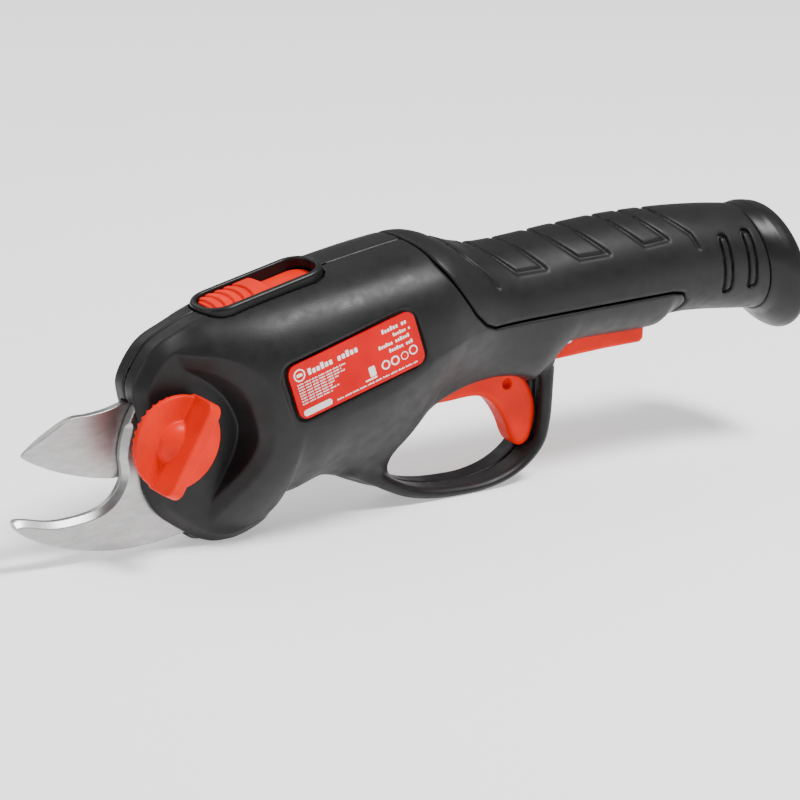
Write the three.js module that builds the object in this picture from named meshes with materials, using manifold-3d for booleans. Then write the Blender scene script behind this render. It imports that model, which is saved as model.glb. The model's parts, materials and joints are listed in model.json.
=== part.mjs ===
// Battery electric pruner, in millimetres, +Z up.
// The blades point to -X, the handle to +X, and the blade knob is on the left side, -Y.
// The tool stands on the nub under its nose and on its finger guard.

import * as THREE from 'three';
import { mergeVertices } from 'three/addons/utils/BufferGeometryUtils.js';
import Module from 'manifold-3d';

const wasm = await Module();
wasm.setup();

// ---------------------------------------------------------------- driving dimensions

const gap = 0.3;                    // clearance between pieces that lie against each other
const running = 0.1;                // radial clearance of a pin or shaft that turns
const wall = 2.6;                   // moulded wall of the housing
const sleeveThickness = 2.0;        // soft grip over the handle
const handleInset = sleeveThickness + gap + 2.1;  // from the grip's face to the handle's inside
const beyond = 60;                  // how far a cutting tool runs past the body
const finest = 0.1;                 // detail smaller than this is smoothed away
const finestTurning = 0.02;         // the same, on pieces that turn in each other's bores

const pivot = { x: -97.7, z: 37.7 };            // the bolt that both blades hang on
const boltRadius = 3;
const slabHalf = 9;                             // half thickness of the flat nose
const blade = { back: 0.1, front: 2.6 };        // cutting blade, from its inner face to its outer
const hook = { back: -3.8, front: -0.2 };       // counter blade

const leverArm = 15;                            // from the pivot up to the screw's axis
const openLean = THREE.MathUtils.degToRad(18);  // the blade tail leans back this far when open
const axisZ = pivot.z + leverArm;               // height of the whole drive line
const pinX = pivot.x + leverArm * Math.tan(openLean);
const pinRadius = 2;
const screwRadius = 2.5;
const nutTravel = 8.1;
const nutBlock = { back: pinX + 21, front: pinX + 7, half: 6 };
const ear = { reach: 3, half: 4, near: -5.2, far: 6 };  // what holds the pin, in front of the nut

const gearModule = 0.8;
const sunTeeth = 12;
const planetTeeth = 12;
const ringTeeth = sunTeeth + 2 * planetTeeth;
const orbit = gearModule * (sunTeeth + planetTeeth) / 2;
const planetAngles = [90, 210, 330];
const carrierRadius = 12.8;
const carrierPinRadius = 1.5;
const shaftRadius = 1.5;
const gearboxRadius = 17.5;
const tooth = { above: 0.65, below: 1 };        // from the pitch circle to a tooth's tip and foot

// The drive line from the motor forward: each piece ends a gap in front of the one behind it.
const motor = { front: -33, length: 29, radius: 12.2, wall: 1.5 };
const ahead = (piece, length) => ({ back: piece.front - gap, front: piece.front - gap - length });
const firstStage = ahead({ front: motor.front - 5.2 }, 6);
const firstDisc = ahead(firstStage, 1.8);
const secondStage = ahead(firstDisc, 6);
const secondDisc = ahead(secondStage, 1.8);
const frontPlate = ahead(secondDisc, 3.2);
const bearing = { ...ahead(frontPlate, 5.5), radius: 8 };
const bulkheadBack = frontPlate.front - gap;

const cell = { radius: 9.2, length: 65, x: 30.8, z: 64.5 };
const knob = { radius: 15, back: -11.3, skirt: -13, front: -15, top: -25.6, finHalf: 2.1 };
const boltHead = { radius: 5, back: -13.6, front: -11.3 };
const finAngle = THREE.MathUtils.degToRad(61.4);
const triggerPin = { x: -1.5, z: 36.5 };
const triggerHalf = 4.5;
const barPin = { x: 49, z: 47.5 };
const barHalf = 7.5;
const leverPin = { radius: 1.5, half: 11 };
const shelf = { z: 48.3, thickness: 2 };        // the rib over the trigger
const barShelf = { z: 53.5, thickness: 1.5 };   // the rib over the safety bar
const cellStop = { thickness: 1.8, half: 4 };   // the rib behind the cell, open in the middle
const bezelTilt = THREE.MathUtils.degToRad(12.4);
const bezel = { x: -62.3, z: 79.2, length: 43.8, width: 18.4, corner: 8, wall: 2.1, depth: 8 };
const slotInset = bezel.wall + gap;
const slider = { travel: 5, deck: -4, under: -7.4, pad: -0.4 };
const sliderRibs = { count: 5, pitch: 3.2, width: 1.4, half: 5 };
const capTilt = THREE.MathUtils.degToRad(11);
const capFront = { x: 124, z: 61.4 };
const spigot = { radius: 10.8, wall: 1.8, length: 5 };
const socket = { x: 14.5, z: -12, radius: 3.4, length: 9, bore: 2.2 };
const led = { x: 14.1, z: 2, radius: 1.5, length: 6 };
const label = { x: -41.3, y: -25.4, z: 56.8, length: 45.5, height: 17.6, corner: 3, thickness: 0.8 };
const labelLean = THREE.MathUtils.degToRad(5);
const labelTurn = THREE.MathUtils.degToRad(17);
const labelYaw = THREE.MathUtils.degToRad(4.4);

// Where the screws go through both halves, and their size.
const screwPlaces = [[-89.4, 64.4], [-66.5, 8.6], [-50, 21], [-23.7, 19.5], [38, 45], [102.4, 62],
  [-0.6, 76.5]];
const screwSize = { radius: 1.3, tip: -6.9, headRadius: 2.5, headHeight: 2, bossRadius: 4 };

// Outlines of the body, each a smooth line through [x, value] points.
const topLine = [[-104, 62], [-101, 65.5], [-93, 70], [-85, 73], [-60, 78], [-33, 82.4], [-12, 85.6],
  [-3, 86.4], [6, 83.2], [13, 81], [24, 79.6], [53, 81.6], [72, 82.6], [92, 82.2], [112, 80.6], [132, 77.8]];
const bottomLine = [[-104, 56], [-94, 12], [-85, 1.2], [-78, 0], [-70, 0], [-64, 1.6], [-59.6, 4.4],
  [-57.2, 9], [-50, 10.6], [-40, 13.2],
  [-33, 12.3], [-26, 9.4], [-18, 7], [-12, 9], [-4, 21], [6, 27], [20, 30], [36, 31], [44, 39],
  [49, 44], [84, 44.4], [88, 47.3], [100, 47.5], [122, 45], [132, 43.8]];
const widthLine = [[-104, 6.5], [-92, 12.5], [-84, 17.4], [-72, 23.2], [-60, 25.5], [-45, 26.8], [-25, 27.5],
  [-8, 27], [4, 24.4], [15, 21.6], [28, 20.2], [50, 19.3], [90, 18.3], [132, 18.2]];
const middleLine = [[-104, 60], [-80, 50], [-60, 47], [-30, 50], [0, 59], [30, 61.5], [60, 63],
  [100, 64.8], [132, 60.8]];
// How square the sections are above and below the middle line: 2 is an ellipse.
const topPowerLine = [[-104, 2.1], [-60, 2.6], [-30, 2.9], [0, 2.6], [25, 2.2], [132, 2.05]];
const bottomPowerLine = [[-104, 2], [-60, 1.75], [-35, 1.5], [-15, 1.2], [5, 1.35], [25, 1.7],
  [50, 2.2], [132, 2.05]];

// ---------------------------------------------------------------- solids

// A manifold solid from a closed three.js geometry.
function solid(geometry) {
  const bare = geometry.clone();
  bare.deleteAttribute('normal');
  bare.deleteAttribute('uv');
  const merged = mergeVertices(bare, 1e-4);
  const vertProperties = merged.attributes.position.array;
  const triVerts = new Uint32Array(merged.index.array);
  return new wasm.Manifold(new wasm.Mesh({ numProp: 3, vertProperties, triVerts }));
}

// A three.js geometry from a manifold solid.
function geometryOf(manifold, detail) {
  const mesh = manifold.simplify(detail).getMesh();
  const geometry = new THREE.BufferGeometry();
  geometry.setAttribute('position', new THREE.BufferAttribute(mesh.vertProperties, 3));
  geometry.setIndex(new THREE.BufferAttribute(mesh.triVerts, 1));
  geometry.computeVertexNormals();
  return geometry;
}

function joined(...pieces) {
  return pieces.reduce((all, piece) => all.add(piece));
}

function cutBy(body, ...tools) {
  return tools.reduce((rest, tool) => rest.subtract(tool), body);
}

// An outline in the X-Z plane, given a thickness from y0 to y1. Its edges round off over `bevel`
// of the thickness, and draw in by `inset` as they do.
function plate(outline, y0, y1, bevel = 0, inset = bevel) {
  const options = { depth: y1 - y0 - 2 * bevel, curveSegments: 8, bevelEnabled: bevel > 0,
    bevelThickness: bevel, bevelSize: inset, bevelOffset: -inset, bevelSegments: 2 };
  const geometry = new THREE.ExtrudeGeometry(outline, options);
  geometry.rotateX(Math.PI / 2);
  geometry.translate(0, y1 - bevel, 0);
  return solid(geometry);
}

// A straight-sided outline through the points.
function polygon(points) {
  return new THREE.Shape(points.map(([x, z]) => new THREE.Vector2(x, z)));
}

// Points on the smooth closed line through the given points, in the X-Z plane.
function smoothLoop(points, steps) {
  const corners = points.map(([x, z]) => new THREE.Vector3(x, 0, z));
  return new THREE.CatmullRomCurve3(corners, true, 'centripetal').getPoints(steps).slice(0, -1);
}

function smoothOutline(points, steps) {
  return new THREE.Shape(smoothLoop(points, steps).map((p) => new THREE.Vector2(p.x, p.z)));
}

function circle(x, z, radius) {
  const shape = new THREE.Shape();
  shape.absarc(x, z, radius, 0, 2 * Math.PI);
  return shape;
}

// A rectangle with round corners, centred on x, z; a stadium when the corner is half the height.
function roundedBox(x, z, length, height, corner) {
  const shape = new THREE.Shape();
  const right = x + length / 2 - corner;
  const left = x - length / 2 + corner;
  const top = z + height / 2 - corner;
  const low = z - height / 2 + corner;
  shape.absarc(right, low, corner, -Math.PI / 2, 0);
  shape.absarc(right, top, corner, 0, Math.PI / 2);
  shape.absarc(left, top, corner, Math.PI / 2, Math.PI);
  shape.absarc(left, low, corner, Math.PI, 1.5 * Math.PI);
  return shape;
}

function box(x0, x1, y0, y1, z0, z1) {
  const geometry = new THREE.BoxGeometry(x1 - x0, y1 - y0, z1 - z0);
  geometry.translate((x0 + x1) / 2, (y0 + y1) / 2, (z0 + z1) / 2);
  return solid(geometry);
}

// A round bar along X, on the drive line unless told otherwise.
function barX(x0, x1, radius, y = 0, z = axisZ, sides = 32) {
  const geometry = new THREE.CylinderGeometry(radius, radius, x1 - x0, sides);
  geometry.rotateZ(-Math.PI / 2);
  geometry.translate((x0 + x1) / 2, y, z);
  return solid(geometry);
}

// A round bar along Y.
function barY(y0, y1, radius, x, z, sides = 24) {
  const geometry = new THREE.CylinderGeometry(radius, radius, y1 - y0, sides);
  geometry.translate(x, (y0 + y1) / 2, z);
  return solid(geometry);
}

// Six times the volume inside the triangles, negative where they face inwards.
function signedVolume(vertices, index) {
  let volume = 0;
  for (let i = 0; i < index.length; i += 3) {
    const [a, b, c] = [vertices[index[i]], vertices[index[i + 1]], vertices[index[i + 2]]];
    volume += a.dot(b.clone().cross(c));
  }
  return volume;
}

// Triangles over a flat ring, running the same way round as its points do.
function endCap(ring) {
  const size = new THREE.Box3().setFromPoints(ring).getSize(new THREE.Vector3());
  const [u, v] = ['x', 'y', 'z'].sort((p, q) => size[q] - size[p]);
  const flat = ring.map((p) => new THREE.Vector2(p[u], p[v]));
  const triangles = THREE.ShapeUtils.triangulateShape(flat, []);
  const turn = THREE.ShapeUtils.area(flat) * THREE.ShapeUtils.area(triangles[0].map((i) => flat[i]));
  return turn < 0 ? triangles.map(([a, b, c]) => [a, c, b]) : triangles;
}

// A closed skin over rings that all have the same number of points, with flat ends.
// The rings may run either way round.
function loft(rings) {
  const count = rings[0].length;
  const vertices = rings.flat();
  const index = [];
  for (let r = 0; r + 1 < rings.length; r += 1) {
    for (let i = 0; i < count; i += 1) {
      const a = r * count + i;
      const b = r * count + (i + 1) % count;
      index.push(a, b, a + count, b, b + count, a + count);
    }
  }
  const last = (rings.length - 1) * count;
  endCap(rings[0]).forEach(([a, b, c]) => index.push(a, c, b));
  endCap(rings[rings.length - 1]).forEach(([a, b, c]) => index.push(last + a, last + b, last + c));
  if (signedVolume(vertices, index) < 0) index.reverse();
  const geometry = new THREE.BufferGeometry().setFromPoints(vertices);
  geometry.setIndex(index);
  return solid(geometry);
}

// The value at x of the smooth line through the points.
function along(points, x) {
  const last = points.length - 1;
  if (x <= points[0][0]) return points[0][1];
  if (x >= points[last][0]) return points[last][1];
  const i = points.findIndex((p) => p[0] > x) - 1;
  const slope = (k) => {
    const before = points[Math.max(k - 1, 0)];
    const after = points[Math.min(k + 1, last)];
    return (after[1] - before[1]) / (after[0] - before[0]);
  };
  const [x0, v0] = points[i];
  const [x1, v1] = points[i + 1];
  const span = x1 - x0;
  const t = (x - x0) / span;
  const bend = t * t * (3 - 2 * t);
  const lift = t * (1 - t) * (1 - t) * slope(i) - t * t * (1 - t) * slope(i + 1);
  return v0 + (v1 - v0) * bend + span * lift;
}

function signedPower(value, power) {
  return Math.sign(value) * Math.abs(value) ** power;
}

// One upright section of the body at x, drawn in by `inset` all round.
function bodyRing(x, inset, count) {
  const waist = along(middleLine, x);
  const up = along(topLine, x) - waist - inset;
  const down = waist - along(bottomLine, x) - inset;
  const reachAcross = along(widthLine, x) - inset;
  const ring = [];
  for (let i = 0; i < count; i += 1) {
    const angle = 2 * Math.PI * i / count;
    const c = Math.cos(angle);
    const s = Math.sin(angle);
    const power = 2 / along(s > 0 ? topPowerLine : bottomPowerLine, x);
    const reachUp = s > 0 ? up : down;
    const y = reachAcross * signedPower(c, power);
    ring.push(new THREE.Vector3(x, y, waist + reachUp * signedPower(s, power)));
  }
  return ring;
}

// The body between two x, as a loft of upright sections.
function bodyLoft(x0, x1, steps, inset, count) {
  const rings = [];
  for (let i = 0; i <= steps; i += 1) {
    rings.push(bodyRing(x0 + (x1 - x0) * i / steps, inset, count));
  }
  return loft(rings);
}

// A smooth loop drawn out by `by` all round, for what has to clear it.
function grown(points, by) {
  const turn = Math.sign(THREE.ShapeUtils.area(points.map((p) => new THREE.Vector2(p.x, p.z))));
  return points.map((p, i) => {
    const before = points[(i + points.length - 1) % points.length];
    const heading = points[(i + 1) % points.length].clone().sub(before).normalize();
    return new THREE.Vector3(p.x + heading.z * by * turn, 0, p.z - heading.x * by * turn);
  });
}

function outlineOf(points) {
  return new THREE.Shape(points.map((p) => new THREE.Vector2(p.x, p.z)));
}

// A section in the Y-Z plane, carried along X.
function bar(section, x0, x1) {
  const options = { depth: x1 - x0, bevelEnabled: false, curveSegments: 6 };
  const geometry = new THREE.ExtrudeGeometry(section, options);
  const axes = [new THREE.Vector3(0, 1, 0), new THREE.Vector3(0, 0, 1), new THREE.Vector3(1, 0, 0)];
  geometry.applyMatrix4(new THREE.Matrix4().makeBasis(...axes));
  geometry.translate(x0, 0, 0);
  return solid(geometry);
}

// A wire wound upwards round a vertical line.
function coil(x, y, z0, z1, radius, wire, turns) {
  const rings = [];
  const steps = turns * 8;
  const sides = 5;
  for (let i = 0; i <= steps; i += 1) {
    const angle = 2 * Math.PI * turns * i / steps;
    const height = z0 + wire + (z1 - z0 - 2 * wire) * i / steps;
    const ring = [];
    for (let k = 0; k < sides; k += 1) {
      const around = 2 * Math.PI * k / sides;
      const out = radius + wire * Math.cos(around);
      const rise = wire * Math.sin(around);
      ring.push(new THREE.Vector3(x + out * Math.cos(angle), y + out * Math.sin(angle), height + rise));
    }
    rings.push(ring);
  }
  return loft(rings);
}

function placed(manifold, matrix) {
  return manifold.transform(matrix.elements);
}

// Turned by the angles, in radians, and then moved so that the origin lands on x, y, z.
function seat(x, y, z, turnX, turnY, turnZ) {
  const matrix = new THREE.Matrix4().makeRotationFromEuler(new THREE.Euler(turnX, turnY, turnZ, 'ZXY'));
  return matrix.setPosition(x, y, z);
}

// What is left of the body on one side of the parting plane.
function halfOf(body, side) {
  const inner = side * gap / 2;
  const outer = side * beyond;
  return body.intersect(box(-200, 200, Math.min(inner, outer), Math.max(inner, outer), -20, 120));
}

// ---------------------------------------------------------------- the scene graph

const group = new THREE.Group();

const finishes = {
  housing: { color: 0x2b2b2c, roughness: 0.62, metalness: 0 },
  sleeve: { color: 0x27272a, roughness: 0.72, metalness: 0 },
  trim: { color: 0x202022, roughness: 0.42, metalness: 0 },
  red: { color: 0xe02412, roughness: 0.38, metalness: 0 },
  label: { color: 0xd4101c, roughness: 0.35, metalness: 0 },
  blade: { color: 0xb9babb, roughness: 0.32, metalness: 0.9 },
  steel: { color: 0x8f9194, roughness: 0.35, metalness: 1 },
  brass: { color: 0xb58f4a, roughness: 0.35, metalness: 1 },
  nylon: { color: 0xd8d5c8, roughness: 0.5, metalness: 0 },
  cell: { color: 0x2f6fb0, roughness: 0.45, metalness: 0 },
  board: { color: 0x1f6b3a, roughness: 0.5, metalness: 0 },
  lamp: { color: 0xcfe8cf, roughness: 0.2, metalness: 0 },
};

function add(name, body, finish, detail = finest) {
  const mesh = new THREE.Mesh(geometryOf(body, detail), new THREE.MeshStandardMaterial(finishes[finish]));
  mesh.name = name;
  group.add(mesh);
}

// ---------------------------------------------------------------- outer form

// The flat nose with the nub below it, that the blades run in.
const noseOutline = smoothOutline([[-107.6, 49.4], [-108.2, 53.6], [-105.6, 59.9], [-100.6, 65.8],
  [-92.8, 69.6], [-84, 72.6], [-72, 73], [-62, 62], [-58, 40], [-57, 22], [-57, 9], [-59.6, 4.4],
  [-65.4, 1.5], [-71, 0], [-78, 0], [-84, 2], [-90.4, 5.9], [-99, 12.6], [-102.8, 19], [-104.2, 25],
  [-105.2, 40]], 64);
const nose = plate(noseOutline, -slabHalf, slabHalf, 5, 3.2);

// What the knob and the nut sit in: everything outside the nose in front of a crescent wall.
// The wall is square to the nose behind, and leans up and out under the brow above.
function pocket(side) {
  const wallLoop = smoothLoop([[-99, 62.2], [-93.3, 58.9], [-86, 54.4], [-80.2, 49.6], [-75.6, 43.8],
    [-73, 37], [-74, 30], [-77.2, 23.2], [-80.8, 17], [-83.8, 11], [-85, 4], [-85.4, -6], [-126, -6],
    [-130, 30], [-122, 66], [-106, 66]], 48);
  const depth = 26;
  const floor = wallLoop.map((p) => new THREE.Vector3(p.x, side * slabHalf, p.z));
  const mouth = wallLoop.map((p) => {
    const lean = 0.8 * depth * THREE.MathUtils.smoothstep(p.z, 38, 56);
    return new THREE.Vector3(p.x + 0.1 * depth, side * (slabHalf + depth), p.z + lean);
  });
  return loft([floor, mouth]);
}
const pockets = joined(pocket(-1), pocket(1));

// The finger opening, up to the edge that the trigger comes out of.
const openingLoop = smoothLoop([[-14.9, 17.6], [-13.6, 13.4], [-9.6, 8.6], [-5, 5.7], [3, 3.3],
  [14, 2.7], [22, 3], [29.6, 4.6], [34.6, 6.6], [38.9, 10.2], [40.9, 14], [42, 21], [41.4, 26],
  [39.2, 30.4], [35.2, 34.6], [30, 37.4], [23, 38.5], [16, 38.2], [9, 36.8], [2.6, 34.2], [-3, 31.2],
  [-7.6, 28], [-11.4, 24], [-14.1, 20.6]], 52);
const opening = plate(outlineOf(openingLoop), -beyond, beyond);

// The thin guard that closes the finger opening below and behind.
function guardLoft() {
  const route = [[-27, 15], [-15, 8], [-7, 4.3], [2, 2.2], [12, 1.45], [22, 1.7], [31, 3.8], [38.2, 7.9],
    [42.7, 13.4], [44.2, 21], [44.4, 33], [44.4, 46]];
  const line = route.map(([x, z]) => new THREE.Vector3(x, 0, z));
  const curve = new THREE.CatmullRomCurve3(line, false, 'centripetal');
  const steps = 22;
  const sides = 14;
  const halfWidth = 8.5;
  const squareness = 0.6;
  const rings = [];
  for (let i = 0; i <= steps; i += 1) {
    const centre = curve.getPoint(i / steps);
    const tangent = curve.getTangent(i / steps);
    const thick = 1.6 + 2.8 * Math.abs(i / steps - 0.45) ** 1.5;
    const ring = [];
    for (let k = 0; k < sides; k += 1) {
      const angle = 2 * Math.PI * k / sides;
      const across = halfWidth * signedPower(Math.cos(angle), squareness);
      const out = thick * signedPower(Math.sin(angle), squareness);
      ring.push(new THREE.Vector3(centre.x - tangent.z * out, across, centre.z + tangent.x * out));
    }
    rings.push(ring);
  }
  return loft(rings);
}

// A block beyond the plane that the rear cap starts at, `back` behind it.
function behindCap(back) {
  const block = box(back, beyond, -beyond, beyond, -2 * beyond, 2 * beyond);
  return placed(block, seat(capFront.x, 0, capFront.z, 0, -capTilt, 0));
}

const barrel = cutBy(bodyLoft(-103, 136, 32, 0, 26), pockets, behindCap(-gap));
const ground = box(-160, 160, -beyond, beyond, -beyond, 0);
const outerForm = cutBy(joined(cutBy(joined(barrel, nose), opening), guardLoft()), ground);

// What the soft grip covers, seen from the side.
const gripOutline = polygon([[-10, 110], [-9.4, 86], [-8.2, 81.7], [-1.8, 72.7], [3.4, 65.6],
  [8.1, 61.3], [12.7, 59.3], [85, 59.3], [89.4, 58.4], [91.5, 55.6], [91, 53.8], [89.6, 51.6],
  [89.6, 20], [150, 20], [150, 110]]);

const labelSeat = seat(label.x, label.y, label.z, -labelLean, -labelTurn, -labelYaw);

// The label's outline drawn out by `grow`, from y0 to y1 behind its face.
function labelPlate(grow, y0, y1) {
  const outline = roundedBox(0, 0, label.length + 2 * grow, label.height + 2 * grow, label.corner + grow);
  return placed(plate(outline, y0, y1), labelSeat);
}

// ---------------------------------------------------------------- housing

// An upright rib across the inside, from x0 to x1 and y0 to y1.
function rib(x0, x1, y0, y1) {
  return box(x0, x1, y0, y1, 0, 2 * beyond);
}

// The rib that holds a part of the drive line, whose bore clears it.
function cradle(x, radius) {
  return cutBy(rib(x - 1, x + 1, -beyond, beyond), barX(x - 2, x + 2, radius + gap, 0, axisZ, 24));
}

const layFlat = seat(0, 0, 0, Math.PI / 2, 0, 0);
const bezelSeat = seat(bezel.x, 0, bezel.z, 0, -bezelTilt, 0);

// The bezel's outline drawn in by `inset` and made longer behind by `extra`, as a plate lying in
// the bezel's own plane, from `low` to `high` above its rim.
function bezelPlate(inset, extra, low, high) {
  const width = bezel.width - 2 * inset;
  const shape = roundedBox(extra / 2, 0, bezel.length - 2 * inset + extra, width, bezel.corner - inset);
  return placed(placed(plate(shape, low, high), layFlat), bezelSeat);
}

const tubWall = 1.4;
const bezelTub = bezelPlate(-gap - tubWall, slider.travel, -bezel.depth - tubWall, beyond);
const bezelPocket = joined(
  bezelPlate(-gap, 0, -bezel.depth - gap, beyond),
  bezelPlate(slotInset - gap, slider.travel + gap, slider.under - gap, slider.deck + gap),
);

// The space inside the two halves, with the ribs that hold the works left standing.
function hollow() {
  const handleFront = 4;
  const front = bodyLoft(bulkheadBack, handleFront, 7, wall, 16);
  const rear = bodyLoft(handleFront - 0.1, 136, 9, handleInset, 16);
  const ribs = [cradle(-52, gearboxRadius), cradle(-37.5, gearboxRadius), cradle(-29, motor.radius),
    cradle(-10, motor.radius)];
  const stop = cell.x + cell.length + 1.6;
  const shelves = [box(8, 36, -beyond, beyond, shelf.z, shelf.z + shelf.thickness),
    box(54, 84, -beyond, beyond, barShelf.z, barShelf.z + barShelf.thickness),
    rib(stop, stop + cellStop.thickness, -beyond, -cellStop.half),
    rib(stop, stop + cellStop.thickness, cellStop.half, beyond)];
  const openingWall = plate(outlineOf(grown(openingLoop, wall)), -beyond, beyond);
  const labelWall = labelPlate(wall, 0, label.thickness + gap + 1.8);
  const bosses = screwPlaces.map(screwBoss);
  return cutBy(joined(front, rear), openingWall, bezelTub, labelWall, ...ribs, ...shelves, ...bosses);
}

function screwBoss([x, z]) {
  return barY(-beyond, beyond, screwSize.bossRadius, x, z, 12);
}

// How far out the body reaches at x, z.
function reachAt(x, z) {
  const waist = along(middleLine, x);
  const above = z > waist;
  const height = above ? along(topLine, x) - waist : waist - along(bottomLine, x);
  const power = along(above ? topPowerLine : bottomPowerLine, x);
  const share = Math.min(Math.abs(z - waist) / height, 1) ** power;
  return along(widthLine, x) * Math.max(1 - share, 0) ** (1 / power);
}

// Where a screw's head sits: under the surface on the right, and under the grip on the handle.
function screwSeat([x, z]) {
  const face = Math.max(reachAt(x, z), x < -57 || z < 10 ? slabHalf : 0);
  const depth = x > 90 || z > 70 ? 6.5 : 4;
  return face - depth;
}

// The hole for a screw, wide enough for its head from the head's seat out.
function screwHole(place) {
  const [x, z] = place;
  const { radius, tip, headRadius, headHeight } = screwSize;
  const headTop = screwSeat(place);
  const shank = barY(tip - 0.5, headTop, radius + running, x, z, 12);
  return joined(shank, barY(headTop - headHeight - gap, beyond, headRadius + gap, x, z, 16));
}

function screw(place) {
  const [x, z] = place;
  const { radius, tip, headRadius, headHeight } = screwSize;
  const headTop = screwSeat(place);
  const head = barY(headTop - headHeight, headTop, headRadius, x, z, 16);
  const shank = barY(tip, headTop - headHeight + 0.1, radius, x, z, 12);
  const hexSocket = barY(headTop - 1.2, headTop + 1, radius, x, z, 6);
  return cutBy(joined(shank, head), hexSocket);
}

// The slot the blades run in, and the channels of the lever and its nut above.
function bladeSpace() {
  const low = hook.back - gap;
  const high = blade.front + gap;
  const bladeSlot = plate(polygon([[-125, -20], [-92, -20], [-86, 3.6], [-76, 3.6], [-71, 9],
    [-71, 48.3], [-125, 48.3]]), low, high);
  const tailSlot = box(-106, -84, blade.back - gap, high, 46, 58.3);
  const side = nutBlock.half + gap;
  const nutFront = nutBlock.front - nutTravel - gap;
  const nutChannel = box(nutFront, nutBlock.back + gap, -side, side, axisZ - side, axisZ + side);
  const earFront = pinX - ear.reach - nutTravel - gap;
  const earSide = ear.half + gap;
  const earChannel = box(earFront, nutBlock.front + 1, ear.near - gap, ear.far + gap, axisZ - earSide,
    axisZ + earSide);
  const boltHole = barY(-beyond, beyond, boltRadius + running, pivot.x, pivot.z, 24);
  const screwBore = barX(nutBlock.back, bulkheadBack + 1, screwRadius + gap);
  const bearingSeat = barX(bearing.front - gap, bulkheadBack + 1, bearing.radius + gap);
  return joined(bladeSlot, tailSlot, nutChannel, earChannel, boltHole, screwBore, bearingSeat);
}

// The slots under the body that the trigger and the safety bar come out of, with their pins.
function leverSpace() {
  const side = triggerHalf + gap;
  const triggerSlot = plate(polygon([[-5.8, 43], [-5.8, 29], [37.6, 10.4], [42.4, 13.2], [44.1, 18.5],
    [44.2, 26], [44.2, 37], [37.2, 43]]), -side, side);
  const barSide = barHalf + gap;
  const barSlot = plate(polygon([[45.7, 38], [82.2, 38], [82.2, 49], [78, 50], [55, 50], [51, 51],
    [45.7, 51]]), -barSide, barSide);
  const end = leverPin.half + 0.2;
  const hole = leverPin.radius + running;
  const pinHoles = [triggerPin, barPin].map((pin) => barY(-end, end, hole, pin.x, pin.z, 16));
  return joined(triggerSlot, barSlot, ...pinHoles);
}

const gripShape = plate(gripOutline, -beyond, beyond);
const underGrip = cutBy(gripShape, bodyLoft(-20, 136, 18, sleeveThickness + gap, 20));
const housing = cutBy(outerForm, underGrip, hollow(), bezelPocket, bladeSpace(), leverSpace(),
  ...screwPlaces.map(screwHole));
const nut = { radius: 5.6, y0: 5.3, y1: 8.9 };
const nutRecess = barY(nut.y0 - gap, beyond, nut.radius + gap, pivot.x, pivot.z, 6);
const labelRecess = labelPlate(1.2, -beyond, label.thickness + gap);

add('left_housing', cutBy(halfOf(housing, -1), labelRecess), 'housing');
add('right_housing', cutBy(halfOf(housing, 1), nutRecess), 'housing');
add('grip_sleeve', cutBy(barrel.intersect(gripShape.translate([gap, 0, gap])),
  bodyLoft(-20, 136, 18, sleeveThickness, 20)), 'sleeve');
add('rating_label', labelPlate(0, 0, label.thickness), 'label');
add('captive_nut', cutBy(barY(nut.y0, nut.y1, nut.radius, pivot.x, pivot.z, 6),
  barY(0, 20, boltRadius + running, pivot.x, pivot.z)), 'steel');
screwPlaces.forEach((place, i) => add(`housing_screw_${i + 1}`, screw(place), 'steel'));

// The rear cap: a flared cup, standing on the cap's plane, with a spigot into the handle.
const capSeat = seat(capFront.x, 0, capFront.z, 0, -capTilt, 0);
const capRings = [[0, 0, 17.6], [1.4, -0.4, 18.5], [4.2, -2.2, 19.9], [7.4, -4.5, 21.6], [9.2, -5.5, 22],
  [11.4, -5.9, 21.2], [13, -6.1, 18], [13.6, -6.1, 12]];

function ringAcross(x, z, radius, sides) {
  const ring = [];
  for (let k = 0; k < sides; k += 1) {
    const angle = 2 * Math.PI * k / sides;
    ring.push(new THREE.Vector3(x, radius * Math.cos(angle), z + radius * Math.sin(angle)));
  }
  return ring;
}

// A loft over some of the cap's rings, drawn in by `inset`.
function capLoft(rings, inset) {
  return loft(rings.map(([x, z, radius]) => ringAcross(x, z, radius - inset, 36)));
}

// A round fitting through the cap's back, grown by `extra` for its hole.
function capFitting(piece, extra) {
  return barX(piece.x - piece.length, piece.x + 4 * extra, piece.radius + extra, 0, piece.z, 20);
}

const capForm = joined(capLoft(capRings, 0), barX(-spigot.length, 1, spigot.radius, 0, 0, 36));
const capBore = barX(-spigot.length - 1, 3, spigot.radius - spigot.wall, 0, 0, 36);
const capBody = cutBy(capForm, capLoft(capRings.slice(1, -2), wall), capBore, capFitting(socket, gap),
  capFitting(led, gap));
const socketBore = barX(socket.x - 7, beyond, socket.bore, 0, socket.z, 20);
add('rear_cap', placed(capBody, capSeat), 'trim');
add('charge_socket', placed(cutBy(capFitting(socket, 0), socketBore), capSeat), 'trim');
add('charge_led', placed(capFitting(led, 0), capSeat), 'lamp');

// ---------------------------------------------------------------- lock

const bezelTunnel = bezelPlate(bezel.wall, 2 * slider.travel, -bezel.depth - 1, slider.deck + gap);
add('lock_bezel', cutBy(bezelPlate(0, 0, -bezel.depth, 0), bezelPlate(bezel.wall, 0, -bezel.depth - 1, 2),
  bezelTunnel), 'trim');

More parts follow.
